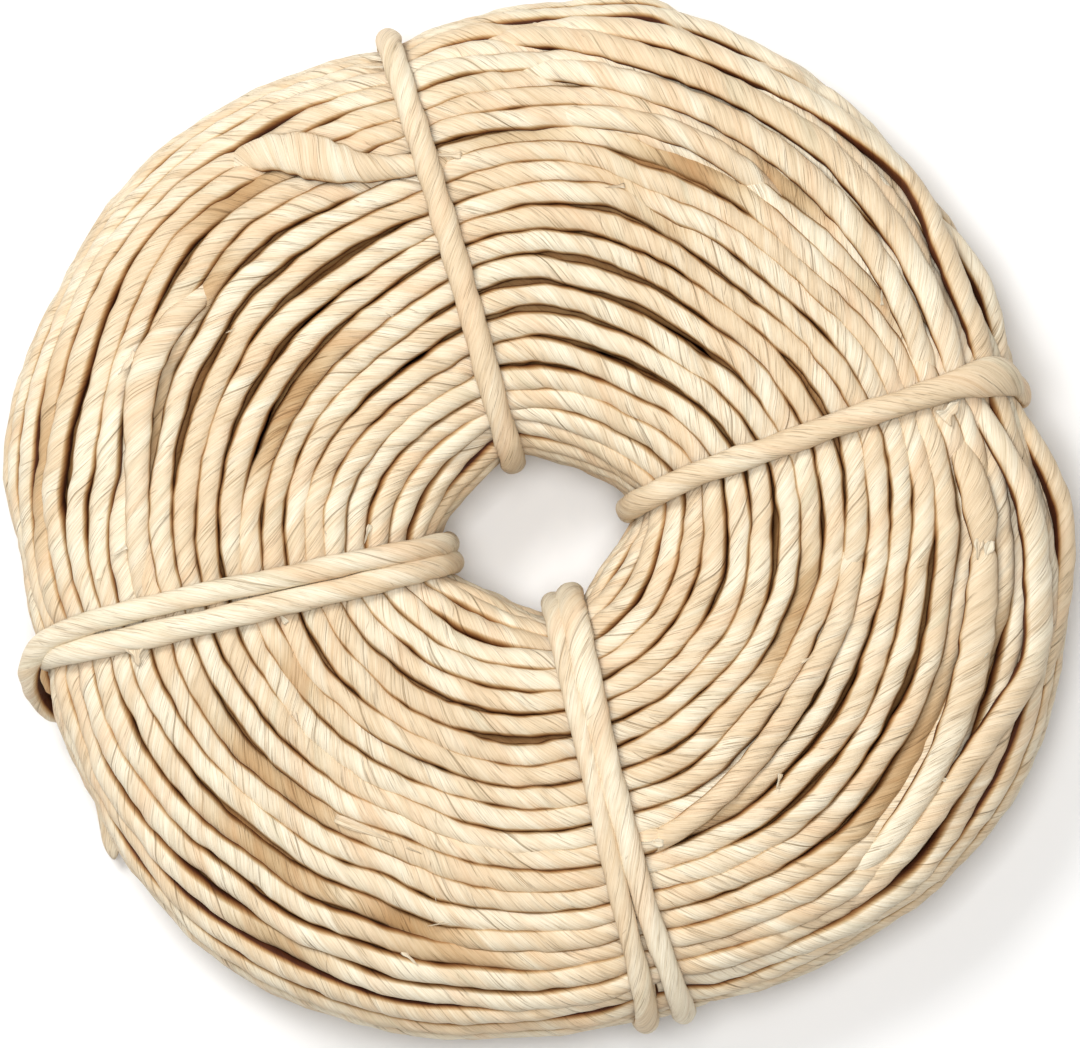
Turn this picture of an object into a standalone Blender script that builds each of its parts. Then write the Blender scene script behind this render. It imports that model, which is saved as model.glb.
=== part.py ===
"""Flat round coil of twisted maize-leaf cord, tied in four places with the same cord.

The coil lies on its side on a small flat ring at z = 0, its hole upright. It is one solid of
the wound form with its turns as ridges, pressed in under the ties. Metres, +Z up.
"""
import math

import bmesh
import bpy
import numpy as np

# Cord
CORD_PITCH = 0.0049        # from the middle of one turn to the next, on the outside of the coil
TIE_RADIUS = 0.00235
LOOSE_END_RADIUS = 0.0019

# Coil, round the axis of its hole
AXIS_X = 0.00035
AXIS_Y = -0.0019
SECTION_HEIGHT = 0.0462    # of the smooth section, before the turns stand out of it
OUTER_FULLNESS = 2.6       # powers of the section's curve: 2 is an ellipse, more is squarer
INNER_FULLNESS = 3.1
FLAT_PRESS = 0.0005        # how much of the rounded underside is pressed flat
TURN_RISE = 0.0009         # crests stand out of the smooth section, furrows go in
TURN_SINK = 0.0011
TURN_SWAY = 0.0011         # uneven spacing of the turns
SLOW_UNEVENNESS = 0.30     # share by which a turn's rise varies round the coil
QUICK_UNEVENNESS = 0.15
UNDERSIDE_FADE = 0.004     # below this height the turns flatten towards the resting plane

# Ties
TIE_PROUD = 0.0007         # middle of a tie over the smooth section
CLEARANCE = 0.0005         # between a tie and the groove that it lies in
LANE = 0.00262             # half the distance between two strands that lie side by side
FLOOR_GAP = 0.0003         # a tie's underside over the resting plane
GROOVE_SHOULDER = 0.62     # sideways reach of a groove's sloping part, in clear radii
SHOULDER_DEPTH = 0.80      # and how deep it lies there
GROOVE_EDGE = 1.35         # where the coil's own skin starts again
LONE_GROOVE_FLOOR = 0.4    # half width of the groove's floor under a single strand
CHANGE_OVER = 0.12         # share of a wrap in which a strand moves to the lane beside it
DOUBLE_WRAP = (0.85, 2.65)   # where a tie's strand starts and stops, in wraps from the rim
SINGLE_WRAP = (0.72, 1.78)

# Mesh
SECTION_SAMPLES = 4000
MEAN_DIRECTION = 60.0      # degrees, where the section has its mean size
COLUMNS_BETWEEN_TIES = 5
TIE_RINGS_PER_TURN = 44
TIE_SIDES = 8

# Outline of the coil seen from above. Columns: degrees, rim radius, hole radius.
OUTLINE = (
    (0, 0.1062, 0.0178),
    (8, 0.1024, 0.0184),
    (16, 0.0976, 0.0186),
    (24, 0.1006, 0.0186),
    (33, 0.1018, 0.0184),
    (41, 0.1006, 0.0174),
    (52, 0.1046, 0.0162),
    (64, 0.1060, 0.0154),
    (76, 0.1084, 0.0152),
    (89, 0.1054, 0.0156),
    (101, 0.1022, 0.0160),
    (113, 0.1022, 0.0164),
    (127, 0.1058, 0.0168),
    (145, 0.1082, 0.0176),
    (160, 0.1080, 0.0188),
    (171, 0.1092, 0.0198),
    (181, 0.1036, 0.0202),
    (191, 0.1022, 0.0202),
    (203, 0.1036, 0.0200),
    (217, 0.1054, 0.0176),
    (233, 0.1062, 0.0160),
    (250, 0.1042, 0.0160),
    (265, 0.1010, 0.0158),
    (278, 0.0984, 0.0154),
    (289, 0.0982, 0.0150),
    (301, 0.1010, 0.0146),
    (315, 0.1056, 0.0142),
    (330, 0.1070, 0.0140),
    (346, 0.1058, 0.0156),
)
OUTLINE_EASING = 5.0       # degrees to each side over which the outline is averaged
OUTLINE_PROBES = 11

# Ties. Columns: name, strands, then the strand's place in degrees at the hole, a third of the
# way out, half way out and at the rim.
TIE_REACH = (0.018, 0.032, 0.062, 0.104)
TIES = (
    ("tie_right", 1, (15.0, 21.5, 20.4, 17.5)),
    ("tie_top", 1, (113.0, 109.8, 107.5, 107.4)),
    ("tie_left", 2, (191.5, 191.5, 192.3, 193.2)),
    ("tie_bottom", 2, (285.5, 284.8, 283.8, 284.2)),
)

# Open furrows between turns on the upper face. Columns: from degrees, to degrees, radius, depth.
FURROWS = (
    (30, 62, 0.0690, 0.0022),
    (56, 77, 0.0770, 0.0028),
    (83, 102, 0.0540, 0.0020),
    (130, 172, 0.0585, 0.0020),
    (143, 178, 0.0950, 0.0032),
    (148, 182, 0.0765, 0.0022),
    (212, 237, 0.0700, 0.0022),
    (222, 243, 0.0970, 0.0026),
    (316, 343, 0.0830, 0.0022),
    (318, 360, 0.0520, 0.0022),
)
FURROW_HALF_WIDTH = 0.0034

# Thick lap where the leaves of a turn spread, on the upper face near the rim
LAP_DIRECTION = 120.0
LAP_REACH = 13.0
LAP_RADIUS = 0.0850
LAP_HALF_WIDTH = 0.0050
LAP_RISE = 0.0012

# Cut end of the cord, tucked under the rim. Columns: degrees, radius, height.
LOOSE_END = (
    (198.5, 0.0990, 0.0054),
    (202.5, 0.1003, 0.0048),
    (207.0, 0.1016, 0.0044),
    (211.0, 0.1033, 0.0042),
    (214.4, 0.1057, 0.0042),
    (216.9, 0.1081, 0.0042),
)
LOOSE_END_POINTS = 8

STRAW = (0.80, 0.64, 0.42)
STRAW_PALE = (0.84, 0.71, 0.52)


def smooth(value):
    """Ease from 0 to 1."""
    value = min(max(value, 0.0), 1.0)
    return value * value * (3.0 - 2.0 * value)


def hump(value, middle, reach):
    """1 over the inner half of middle - reach to middle + reach, easing to 0 at both ends."""
    return smooth(2.0 * (1.0 - abs(value - middle) / reach))


def outline_at(degrees):
    """Rim and hole radius in one direction, on a smooth closed curve through the table."""
    table = np.array(OUTLINE)
    nearby = degrees + np.linspace(-OUTLINE_EASING, OUTLINE_EASING, OUTLINE_PROBES)
    return [float(np.mean(np.interp(nearby, table[:, 0], table[:, column], period=360)))
            for column in (1, 2)]


def section_point(turn, degrees):
    """Smooth cross-section at one direction: radius, height and the outward normal.

    turn goes once round the section, 0 at the rim, a quarter at the top, half at the hole.
    """
    rim, hole = outline_at(degrees)
    half_width = (rim - hole) / 2
    half_height = SECTION_HEIGHT / 2
    swing = 2 * math.pi * turn
    across, up = math.cos(swing), math.sin(swing)
    power = OUTER_FULLNESS if across > 0 else INNER_FULLNESS
    x = math.copysign(abs(across) ** (2 / power), across)
    z = math.copysign(abs(up) ** (2 / power), up)
    normal = np.array((math.copysign(abs(x) ** (power - 1), x) / half_width,
                       math.copysign(abs(z) ** (power - 1), z) / half_height))
    normal /= np.linalg.norm(normal)
    radius = (rim + hole) / 2 + half_width * x
    height = half_height * (1 + z) - FLAT_PRESS
    return radius, height, normal


def evenly_spaced_turns():
    """Places round the mean section, an even distance apart: one crest and one furrow a turn."""
    turns = np.linspace(0.0, 1.0, SECTION_SAMPLES + 1)
    mean = [section_point(turn, MEAN_DIRECTION)[:2] for turn in turns]
    steps = np.linalg.norm(np.diff(np.array(mean), axis=0), axis=1)
    run = np.concatenate(((0.0,), np.cumsum(steps)))
    count = 2 * round(run[-1] / CORD_PITCH)
    places = np.arange(count) * run[-1] / count
    return turns, run, places


def in_world(radius, degrees, height):
    """Point at a radius and direction from the axis of the hole."""
    angle = math.radians(degrees)
    return np.array((AXIS_X + radius * math.cos(angle), AXIS_Y + radius * math.sin(angle), height))


def tie_direction(places, radius):
    """Direction of a tie at one distance from the axis."""
    return float(np.interp(radius, TIE_REACH, places))


def tie_middle(turn, places, lane):
    """Middle of a tie's strand and its outward normal."""
    first_radius = section_point(turn, places[2])[0]
    degrees = tie_direction(places, first_radius) + math.degrees(lane / first_radius)
    radius, height, normal = section_point(turn, degrees)
    radius += normal[0] * TIE_PROUD
    height = max(height + normal[1] * TIE_PROUD, TIE_RADIUS + FLOOR_GAP)
    angle = math.radians(degrees)
    outward = np.array((normal[0] * math.cos(angle), normal[0] * math.sin(angle), normal[1]))
    return in_world(radius, degrees, height), outward


def ridge_height(row, degrees, radius, height, normal):
    """How far a crest, or a furrow if the row's number is odd, stands out of the section."""
    angle = math.radians(degrees)
    unevenness = (1 + SLOW_UNEVENNESS * math.sin(3 * angle + 1.7 * row)
                  + QUICK_UNEVENNESS * math.sin(7 * angle + 2.9 * row))
    rise = unevenness * (-TURN_SINK if row % 2 else TURN_RISE)
    on_top = smooth(2 * normal[1])
    if row % 2:
        for start, end, middle, depth in FURROWS:
            along = hump(degrees % 360, (start + end) / 2, (end - start) / 2)
            rise -= on_top * depth * along * hump(radius, middle, FURROW_HALF_WIDTH)
    along = hump(degrees % 360, LAP_DIRECTION, LAP_REACH)
    rise += on_top * LAP_RISE * along * hump(radius, LAP_RADIUS, LAP_HALF_WIDTH)
    if normal[1] < 0:
        rise *= smooth(height / UNDERSIDE_FADE)
    return rise


def groove_columns(strands, normal):
    """Columns across a tie's groove: distance from its middle, and depth in clear radii.

    Under the coil, where a single strand's two ends lie side by side, its groove widens.
    """
    clear = TIE_RADIUS + CLEARANCE
    floor = LANE if strands == 2 else LONE_GROOVE_FLOOR * clear
    if strands == 1:
        floor += (LANE - floor) * smooth(-3.0 * normal[1])
    return (
        (-floor - GROOVE_EDGE * clear, None),
        (-floor - GROOVE_SHOULDER * clear, SHOULDER_DEPTH),
        (-floor, 1.0),
        (0.0, 1.0),
        (floor, 1.0),
        (floor + GROOVE_SHOULDER * clear, SHOULDER_DEPTH),
        (floor + GROOVE_EDGE * clear, None),
    )


def coil_columns(row, turn):
    """One ring of the coil's points, all the way round the hole at one place of the section."""
    clear = TIE_RADIUS + CLEARANCE
    grooves = []
    for _, strands, places in TIES:
        middle_degrees = tie_direction(places, section_point(turn, places[2])[0])
        radius, height, normal = section_point(turn, middle_degrees)
        points = []
        for distance, depth in groove_columns(strands, normal):
            degrees = middle_degrees + math.degrees(distance / radius)
            if depth is None:
                points.append(skin_point(row, turn, degrees))
            else:
                middle, outward = tie_middle(turn, places, distance)
                points.append(middle - outward * clear * depth)
        reach = math.degrees(groove_columns(strands, normal)[-1][0] / radius)
        grooves.append((middle_degrees - reach, middle_degrees + reach, points))
    ring = []
    for index, (_, start, points) in enumerate(grooves):
        ring.extend(points)
        end = grooves[(index + 1) % len(grooves)][0]
        if end < start:
            end += 360
        for step in range(1, COLUMNS_BETWEEN_TIES + 1):
            degrees = start + (end - start) * step / (COLUMNS_BETWEEN_TIES + 1)
            ring.append(skin_point(row, turn, degrees))
    return ring


def skin_point(row, turn, degrees):
    """Point of the coil's ridged skin."""
    radius, height, normal = section_point(turn, degrees)
    rise = ridge_height(row, degrees, radius, height, normal)
    height = max(height + normal[1] * rise, 0.0)
    return in_world(radius + normal[0] * rise, degrees, height)


def add_mesh(name, points, faces, material):
    """New object of one closed body with its faces pointing out."""
    mesh = bpy.data.meshes.new(name)
    work = bmesh.new()
    corners = [work.verts.new(point) for point in points]
    for face in faces:
        work.faces.new([corners[index] for index in face])
    bmesh.ops.recalc_face_normals(work, faces=work.faces)
    work.to_mesh(mesh)
    work.free()
    mesh.shade_smooth()
    mesh.materials.append(material)
    thing = bpy.data.objects.new(name, mesh)
    bpy.context.scene.collection.objects.link(thing)
    return thing


def leaf_material(name, colour, roughness):
    """Plain dry-leaf finish."""
    material = bpy.data.materials.new(name)
    material.use_nodes = True
    shader = material.node_tree.nodes["Principled BSDF"]
    shader.inputs["Base Color"].default_value = (*colour, 1.0)
    shader.inputs["Roughness"].default_value = roughness
    shader.inputs["Metallic"].default_value = 0.0
    return material


def add_coil():
    """Wound coil with its turns as ridges and a groove under each tie."""
    turns, run, places = evenly_spaced_turns()
    points = []
    for row, place in enumerate(places):
        sway = TURN_SWAY * math.sin(0.9 * row)
        turn = float(np.interp((place + sway) % run[-1], run, turns)) % 1.0
        points.extend(coil_columns(row, turn))
    columns = len(points) // len(places)
    faces = []
    for row in range(len(places)):
        for column in range(columns):
            beside = (column + 1) % columns
            below = (row + 1) % len(places)
            faces.append((row * columns + column, row * columns + beside,
                          below * columns + beside, below * columns + column))
    return add_mesh("coil", points, faces, leaf_material("maize_cord", STRAW, 0.75))


def tie_route(strands, places):
    """Middles and outward normals along a tie's strand, from one tucked end to the other.

    It starts under the coil, goes out round the rim, over the top and down through the hole.
    Side by side strands change over under the coil, where both ends stop.
    """
    start, end = DOUBLE_WRAP if strands == 2 else SINGLE_WRAP
    count = round(TIE_RINGS_PER_TURN * (end - start))
    route = []
    for step in range(count + 1):
        turn = start + (end - start) * step / count
        if strands == 2:
            lane = LANE * (2 * smooth((turn - 1.69) / CHANGE_OVER) - 1)
        else:
            lane = LANE * (smooth((turn - 1.60) / CHANGE_OVER)
                           - smooth((0.90 - turn) / CHANGE_OVER))
        route.append(tie_middle(turn % 1.0, places, lane))
    return route


def add_tie(name, strands, places, material):
    """Tie of one strand of cord, round in section, its ends tucked side by side."""
    route = tie_route(strands, places)
    middles = np.array([middle for middle, outward in route])
    along = np.gradient(middles, axis=0)
    points = []
    for middle, tangent, (_, outward) in zip(middles, along, route):
        tangent = tangent / np.linalg.norm(tangent)
        up = outward - tangent * np.dot(outward, tangent)
        up /= np.linalg.norm(up)
        side = np.cross(tangent, up)
        for corner in range(TIE_SIDES):
            angle = 2 * math.pi * corner / TIE_SIDES
            points.append(middle + TIE_RADIUS * (side * math.cos(angle) + up * math.sin(angle)))
    faces = [tuple(range(TIE_SIDES)), tuple(len(points) - 1 - i for i in range(TIE_SIDES))]
    for ring in range(len(middles) - 1):
        for corner in range(TIE_SIDES):
            beside = (corner + 1) % TIE_SIDES
            first = ring * TIE_SIDES
            faces.append((first + corner, first + beside,
                          first + TIE_SIDES + beside, first + TIE_SIDES + corner))
    return add_mesh(name, points, faces, material)


def add_loose_end(material):
    """Cut end of the cord, lying under the rim and sticking out past it."""
    table = np.array(LOOSE_END)
    rows = np.linspace(0, len(table) - 1, LOOSE_END_POINTS)
    curve = bpy.data.curves.new("loose_end", "CURVE")
    curve.dimensions = "3D"
    curve.bevel_depth = LOOSE_END_RADIUS
    curve.bevel_resolution = 2
    curve.use_fill_caps = True
    spline = curve.splines.new("POLY")
    spline.points.add(LOOSE_END_POINTS - 1)
    for point, row in zip(spline.points, rows):
        degrees, radius, height = (float(np.interp(row, range(len(table)), table[:, column]))
                                   for column in range(3))
        point.co = (*in_world(radius, degrees, height), 1.0)
    curve.materials.append(material)
    thing = bpy.data.objects.new("loose_end", curve)
    bpy.context.scene.collection.objects.link(thing)
    return thing


def clear_scene():
    """Start from an empty scene."""
    for thing in list(bpy.data.objects):
        bpy.data.objects.remove(thing, do_unlink=True)


def main():
    """Build the coil, its four ties and the cut end."""
    clear_scene()
    add_coil()
    pale = leaf_material("tie_cord", STRAW_PALE, 0.72)
    for name, strands, places in TIES:
        add_tie(name, strands, places, pale)
    add_loose_end(leaf_material("cut_end", STRAW, 0.8))


main()
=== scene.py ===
"""Tied coil of twisted maize-leaf cord: its turns, ties, torn leaf edges and the stage.

The coil is one cord wound round and round the ring's section, so each visible stretch of it
is one long tube whose turns a loop works out. Open furrows, dips and laps come from short
tables of places on the upper face. Metres, +Z up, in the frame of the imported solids.
"""
import math

import bpy
import numpy as np
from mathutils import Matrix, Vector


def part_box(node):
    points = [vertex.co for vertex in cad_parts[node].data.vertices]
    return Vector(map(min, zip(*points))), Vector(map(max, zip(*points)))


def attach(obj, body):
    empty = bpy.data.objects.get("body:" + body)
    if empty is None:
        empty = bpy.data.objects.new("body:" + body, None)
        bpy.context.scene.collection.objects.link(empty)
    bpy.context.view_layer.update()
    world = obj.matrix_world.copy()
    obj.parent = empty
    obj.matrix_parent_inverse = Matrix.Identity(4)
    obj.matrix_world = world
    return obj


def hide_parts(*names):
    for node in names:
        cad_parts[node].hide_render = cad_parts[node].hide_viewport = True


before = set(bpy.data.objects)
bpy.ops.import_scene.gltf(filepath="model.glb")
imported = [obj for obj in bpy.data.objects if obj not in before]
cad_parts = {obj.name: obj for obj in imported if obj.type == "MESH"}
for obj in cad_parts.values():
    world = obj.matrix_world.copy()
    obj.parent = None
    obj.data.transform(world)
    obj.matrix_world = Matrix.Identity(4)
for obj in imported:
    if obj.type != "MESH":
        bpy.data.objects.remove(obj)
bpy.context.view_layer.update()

bl_info = {
    "name": "Tied cord coil",
    "version": (1, 0, 0),
    "blender": (4, 5, 0),
    "location": "3D View > Sidebar > Cord coil",
    "description": "Builds a flat coil of twisted leaf cord with its ties",
    "category": "Add Mesh",
}

COIL_LOW, COIL_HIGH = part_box("coil")
MM = 0.001

# Section of the coil, as in the solids
AXIS_X = 0.00035
AXIS_Y = -0.0019
OUTER_FULLNESS = 2.6
INNER_FULLNESS = 3.1
FLAT_PRESS = 0.0005
CREST_RISE = 0.0009
SECTION_HEIGHT = COIL_HIGH.z - COIL_LOW.z + FLAT_PRESS - 1.4 * CREST_RISE
SECTION_SAMPLES = 2000
LINE_SAMPLES = 40               # to a row of a table of places
MEAN_DIRECTION = 60.0           # the turns are spaced out on the section in this direction

# Outline of the coil seen from above. Columns: degrees, rim radius, hole radius.
OUTLINE = (
    (0, 0.1062, 0.0178), (8, 0.1024, 0.0184), (16, 0.0976, 0.0186), (24, 0.1006, 0.0186),
    (33, 0.1018, 0.0184), (41, 0.1006, 0.0174), (52, 0.1046, 0.0162), (64, 0.1060, 0.0154),
    (76, 0.1084, 0.0152), (89, 0.1054, 0.0156), (101, 0.1022, 0.0160), (113, 0.1022, 0.0164),
    (127, 0.1058, 0.0168), (145, 0.1082, 0.0176), (160, 0.1080, 0.0188), (171, 0.1092, 0.0198),
    (181, 0.1036, 0.0202), (191, 0.1022, 0.0202), (203, 0.1036, 0.0200), (217, 0.1054, 0.0176),
    (233, 0.1062, 0.0160), (250, 0.1042, 0.0160), (265, 0.1010, 0.0158), (278, 0.0984, 0.0154),
    (289, 0.0982, 0.0150), (301, 0.1010, 0.0146), (315, 0.1056, 0.0142), (330, 0.1070, 0.0140),
    (346, 0.1058, 0.0156),
)
OUTLINE_EASING = 5.0            # degrees to each side
RIM_ROUNDING = 25.0             # the same for the rounder rim that the inner turns follow
OUTLINE_PROBES = 11

# Winding. Turns are numbered round the section from the rim over the top, through the hole and
# back under. Each turn starts in the direction of the bottom tie, which hides the joins.
WINDING_START = 284.0
FIRST_TURN = -6                 # lowest turn that a furrow can lie beside
LAYER_DEPTH = 1.35 * MM         # middle of a skin turn under the smooth section
UNDER_DEPTH = 5.4 * MM
UNDER_TURNS = 46
UNDER_STEP = 2.8 * MM
UNDER_SIDES = 10
UNDER_THICKNESS = 1.12          # as a share of the cord's
UNDERSIDE = -0.2                # upward part of the normal, below which a turn lies underneath
UPPER_FACE = 0.1                # and above which it can lie under a lap
LOWEST_MIDDLE = 0.47            # over the floor, as a share of the cord's diameter

# How a cord changes along its run. Lengths are in metres, and a pair holds how much it changes,
# as a share, and the length over which it does.
DRIFT_WAVES = (1.0, 0.63, 0.41, 0.27)
DRIFT_TOTAL = 1.5
SWAY_LENGTH = 0.11
SWAY_SWING = 1.3
SWAY_PER_ARC = 90
LIFT_LENGTH = 0.085
TWIST_CHANGE = (0.22, 0.19)
TINT_LENGTH = 0.30
THICKNESS_CHANGES = ((0.075, 0.075), (0.05, 0.021))
FLATTENING = 1.035              # width of a skin turn, as a share of its thickness
FLATTENING_CHANGE = (0.04, 0.05)
LAID_CHANGE = (0.03, 0.025)     # for the ties, laps and loose turns
STRAND_CLEARANCE = 0.3 * MM     # between these and the floor

# Twisted leaf in section, as shares of its radius: two lobes, three lobes, the step at the leaf's
# edge, and bulges along the run with their length in metres.
TWO_LOBES = 0.030
THREE_LOBES = 0.022
LEAF_STEP = 0.032
BULGES = (0.018, 0.013)
SHADE_PAINT_EASE = 0.5              # change of the cosine over which a strand's painted shade comes in
SUNKEN_SHADE = 0.55             # painted shade: how dark a sunken turn is coloured on top

# Seeds, and how far along their run strands start, so that no two look alike
SKIN_SEED, UNDER_SEED, TIE_SEED, LAP_SEED, LOOSE_TURN_SEED = 3, 17, 41, 77, 91
LOOSE_END_SEED, FLATTENING_SEED, SCRAP_SEED = 83, 11, 5
RUN_PER_SEED = 40.0
RUN_PER_TURN = 0.4
LAID_RUN_PER_SEED = 3.0
LOOSE_END_RUN = 95.0

# Skin pieces. Columns: name, first turn, last turn, step along the cord, sides.
SKIN_PIECES = (
    ("turns_rim", -5, 3, 1.5 * MM, 14),
    ("turns_top_outer", 3, 11, 1.1 * MM, 16),
    ("turns_top_inner", 11, 22, 1.0 * MM, 16),
    ("turns_hole", 22, 29, 1.2 * MM, 14),
    ("turns_base", 29, 45, 2.2 * MM, 12),
)

# Open furrows on the upper face. Columns: from degrees, to degrees, radius where it starts and
# where it ends, and width, in millimetres.
FURROWS = (
    (345, 373, 79.8, 79, 0.8), (0, 13, 72.6, 72.8, 0.8), (0, 17, 64.6, 64.8, 1),
    (22, 32, 65.4, 64.4, 1), (0, 17, 42, 43, 0.8), (26, 62, 67.6, 70.6, 1.4),
    (34, 46, 46, 45.2, 1), (42, 58, 35.4, 33.6, 1), (46, 64, 83.4, 86, 2), (56, 78, 74, 78.4, 3),
    (58, 90, 37.6, 37.8, 0.5), (55, 74, 91.6, 93.6, 1.3), (65, 88, 26, 26.2, 0.9),
    (88, 98, 96.6, 97, 1), (76, 92, 53, 54.6, 0.5), (88, 104, 50.4, 51.2, 1),
    (92, 106, 33.2, 34, 1), (113, 121, 91.4, 92.8, 1.4), (134, 149, 88.4, 87.4, 1.6),
    (137, 173, 102, 100, 1), (143, 178, 96, 94.4, 2.6), (129, 172, 56.6, 60.6, 1.2),
    (149, 182, 77, 73.6, 1.6), (158, 171, 83.4, 81.4, 1.6), (196, 216, 33.6, 31, 0.8),
    (206, 216, 97.6, 96.4, 1), (207, 236, 71.6, 69, 1.6), (217, 241, 84.8, 82, 1.6),
    (222, 240, 97.6, 95.4, 1.4), (201, 210, 90.4, 90, 1), (241, 258, 81.6, 79.4, 2.4),
    (236, 250, 67.8, 65.4, 1.4), (296, 309, 23, 22.8, 0.8), (290, 312, 65.6, 66, 1.3),
    (312, 345, 83.4, 82, 1.8), (322, 358, 50.4, 52.6, 1.1), (320, 337, 42.4, 42.2, 1),
    (327, 347, 35.2, 36, 0.8), (334, 353, 94.6, 93, 1), (321, 353, 68.2, 69.4, 2),
    (318, 334, 62.8, 62.6, 1), (270, 279, 50.6, 50.4, 1),
)
FURROW_SHARE = 0.72             # of the tabled width; the turns' roundness gives the rest
FURROW_CLOSING = 1.12           # where it closes, as a share of half its length
FURROW_OVERRUN = 0.2            # share of its length that its line runs on at both ends
SETTLING_LIMIT = 1.4 * MM       # how far the turns may move to bring a furrow to its place
SETTLING_REACH = 27 * MM        # how far to each side they move for that
FURROW_REACH = 15 * MM          # how far to each side the turns make room
FURROW_EASE = 40 * MM           # length over which the turns swing back beyond its ends

# Turns that sink between their neighbours. Columns: from degrees, to degrees, radius and depth,
# in millimetres.
SUNKEN = (
    (24, 44, 80.6, 1.6), (44, 66, 84.6, 2.6), (54, 82, 77, 2.8), (82, 106, 76.6, 1.8),
    (60, 78, 65.6, 1.4), (70, 84, 69.4, 1.2), (122, 142, 90.4, 2.4), (150, 182, 80.4, 2.2),
    (128, 176, 58.4, 2.6), (136, 150, 84, 1.8), (160, 184, 101.2, 1.8), (202, 220, 56, 1.6),
    (205, 240, 71, 2.4), (216, 244, 83.4, 2.4), (240, 262, 80.4, 2.8), (228, 246, 96.4, 2),
    (246, 270, 88.4, 1.6), (292, 312, 64.4, 1.4), (308, 348, 82.6, 2.6), (322, 362, 51.8, 2.4),
    (316, 332, 99, 1.8), (334, 354, 93.4, 1.8), (352, 372, 86.4, 2), (8, 20, 92, 1.4),
)
SUNKEN_SHARE = 0.72             # of the tabled depth
SUNKEN_LENGTH = 1.25            # share of the tabled length over which it comes and goes
SUNKEN_PULL = 0.7 * MM          # how far the turns beside it close in
SUNKEN_FULL = 2.5 * MM          # depth at which a sunken turn's painted shade is as dark as it gets
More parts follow.
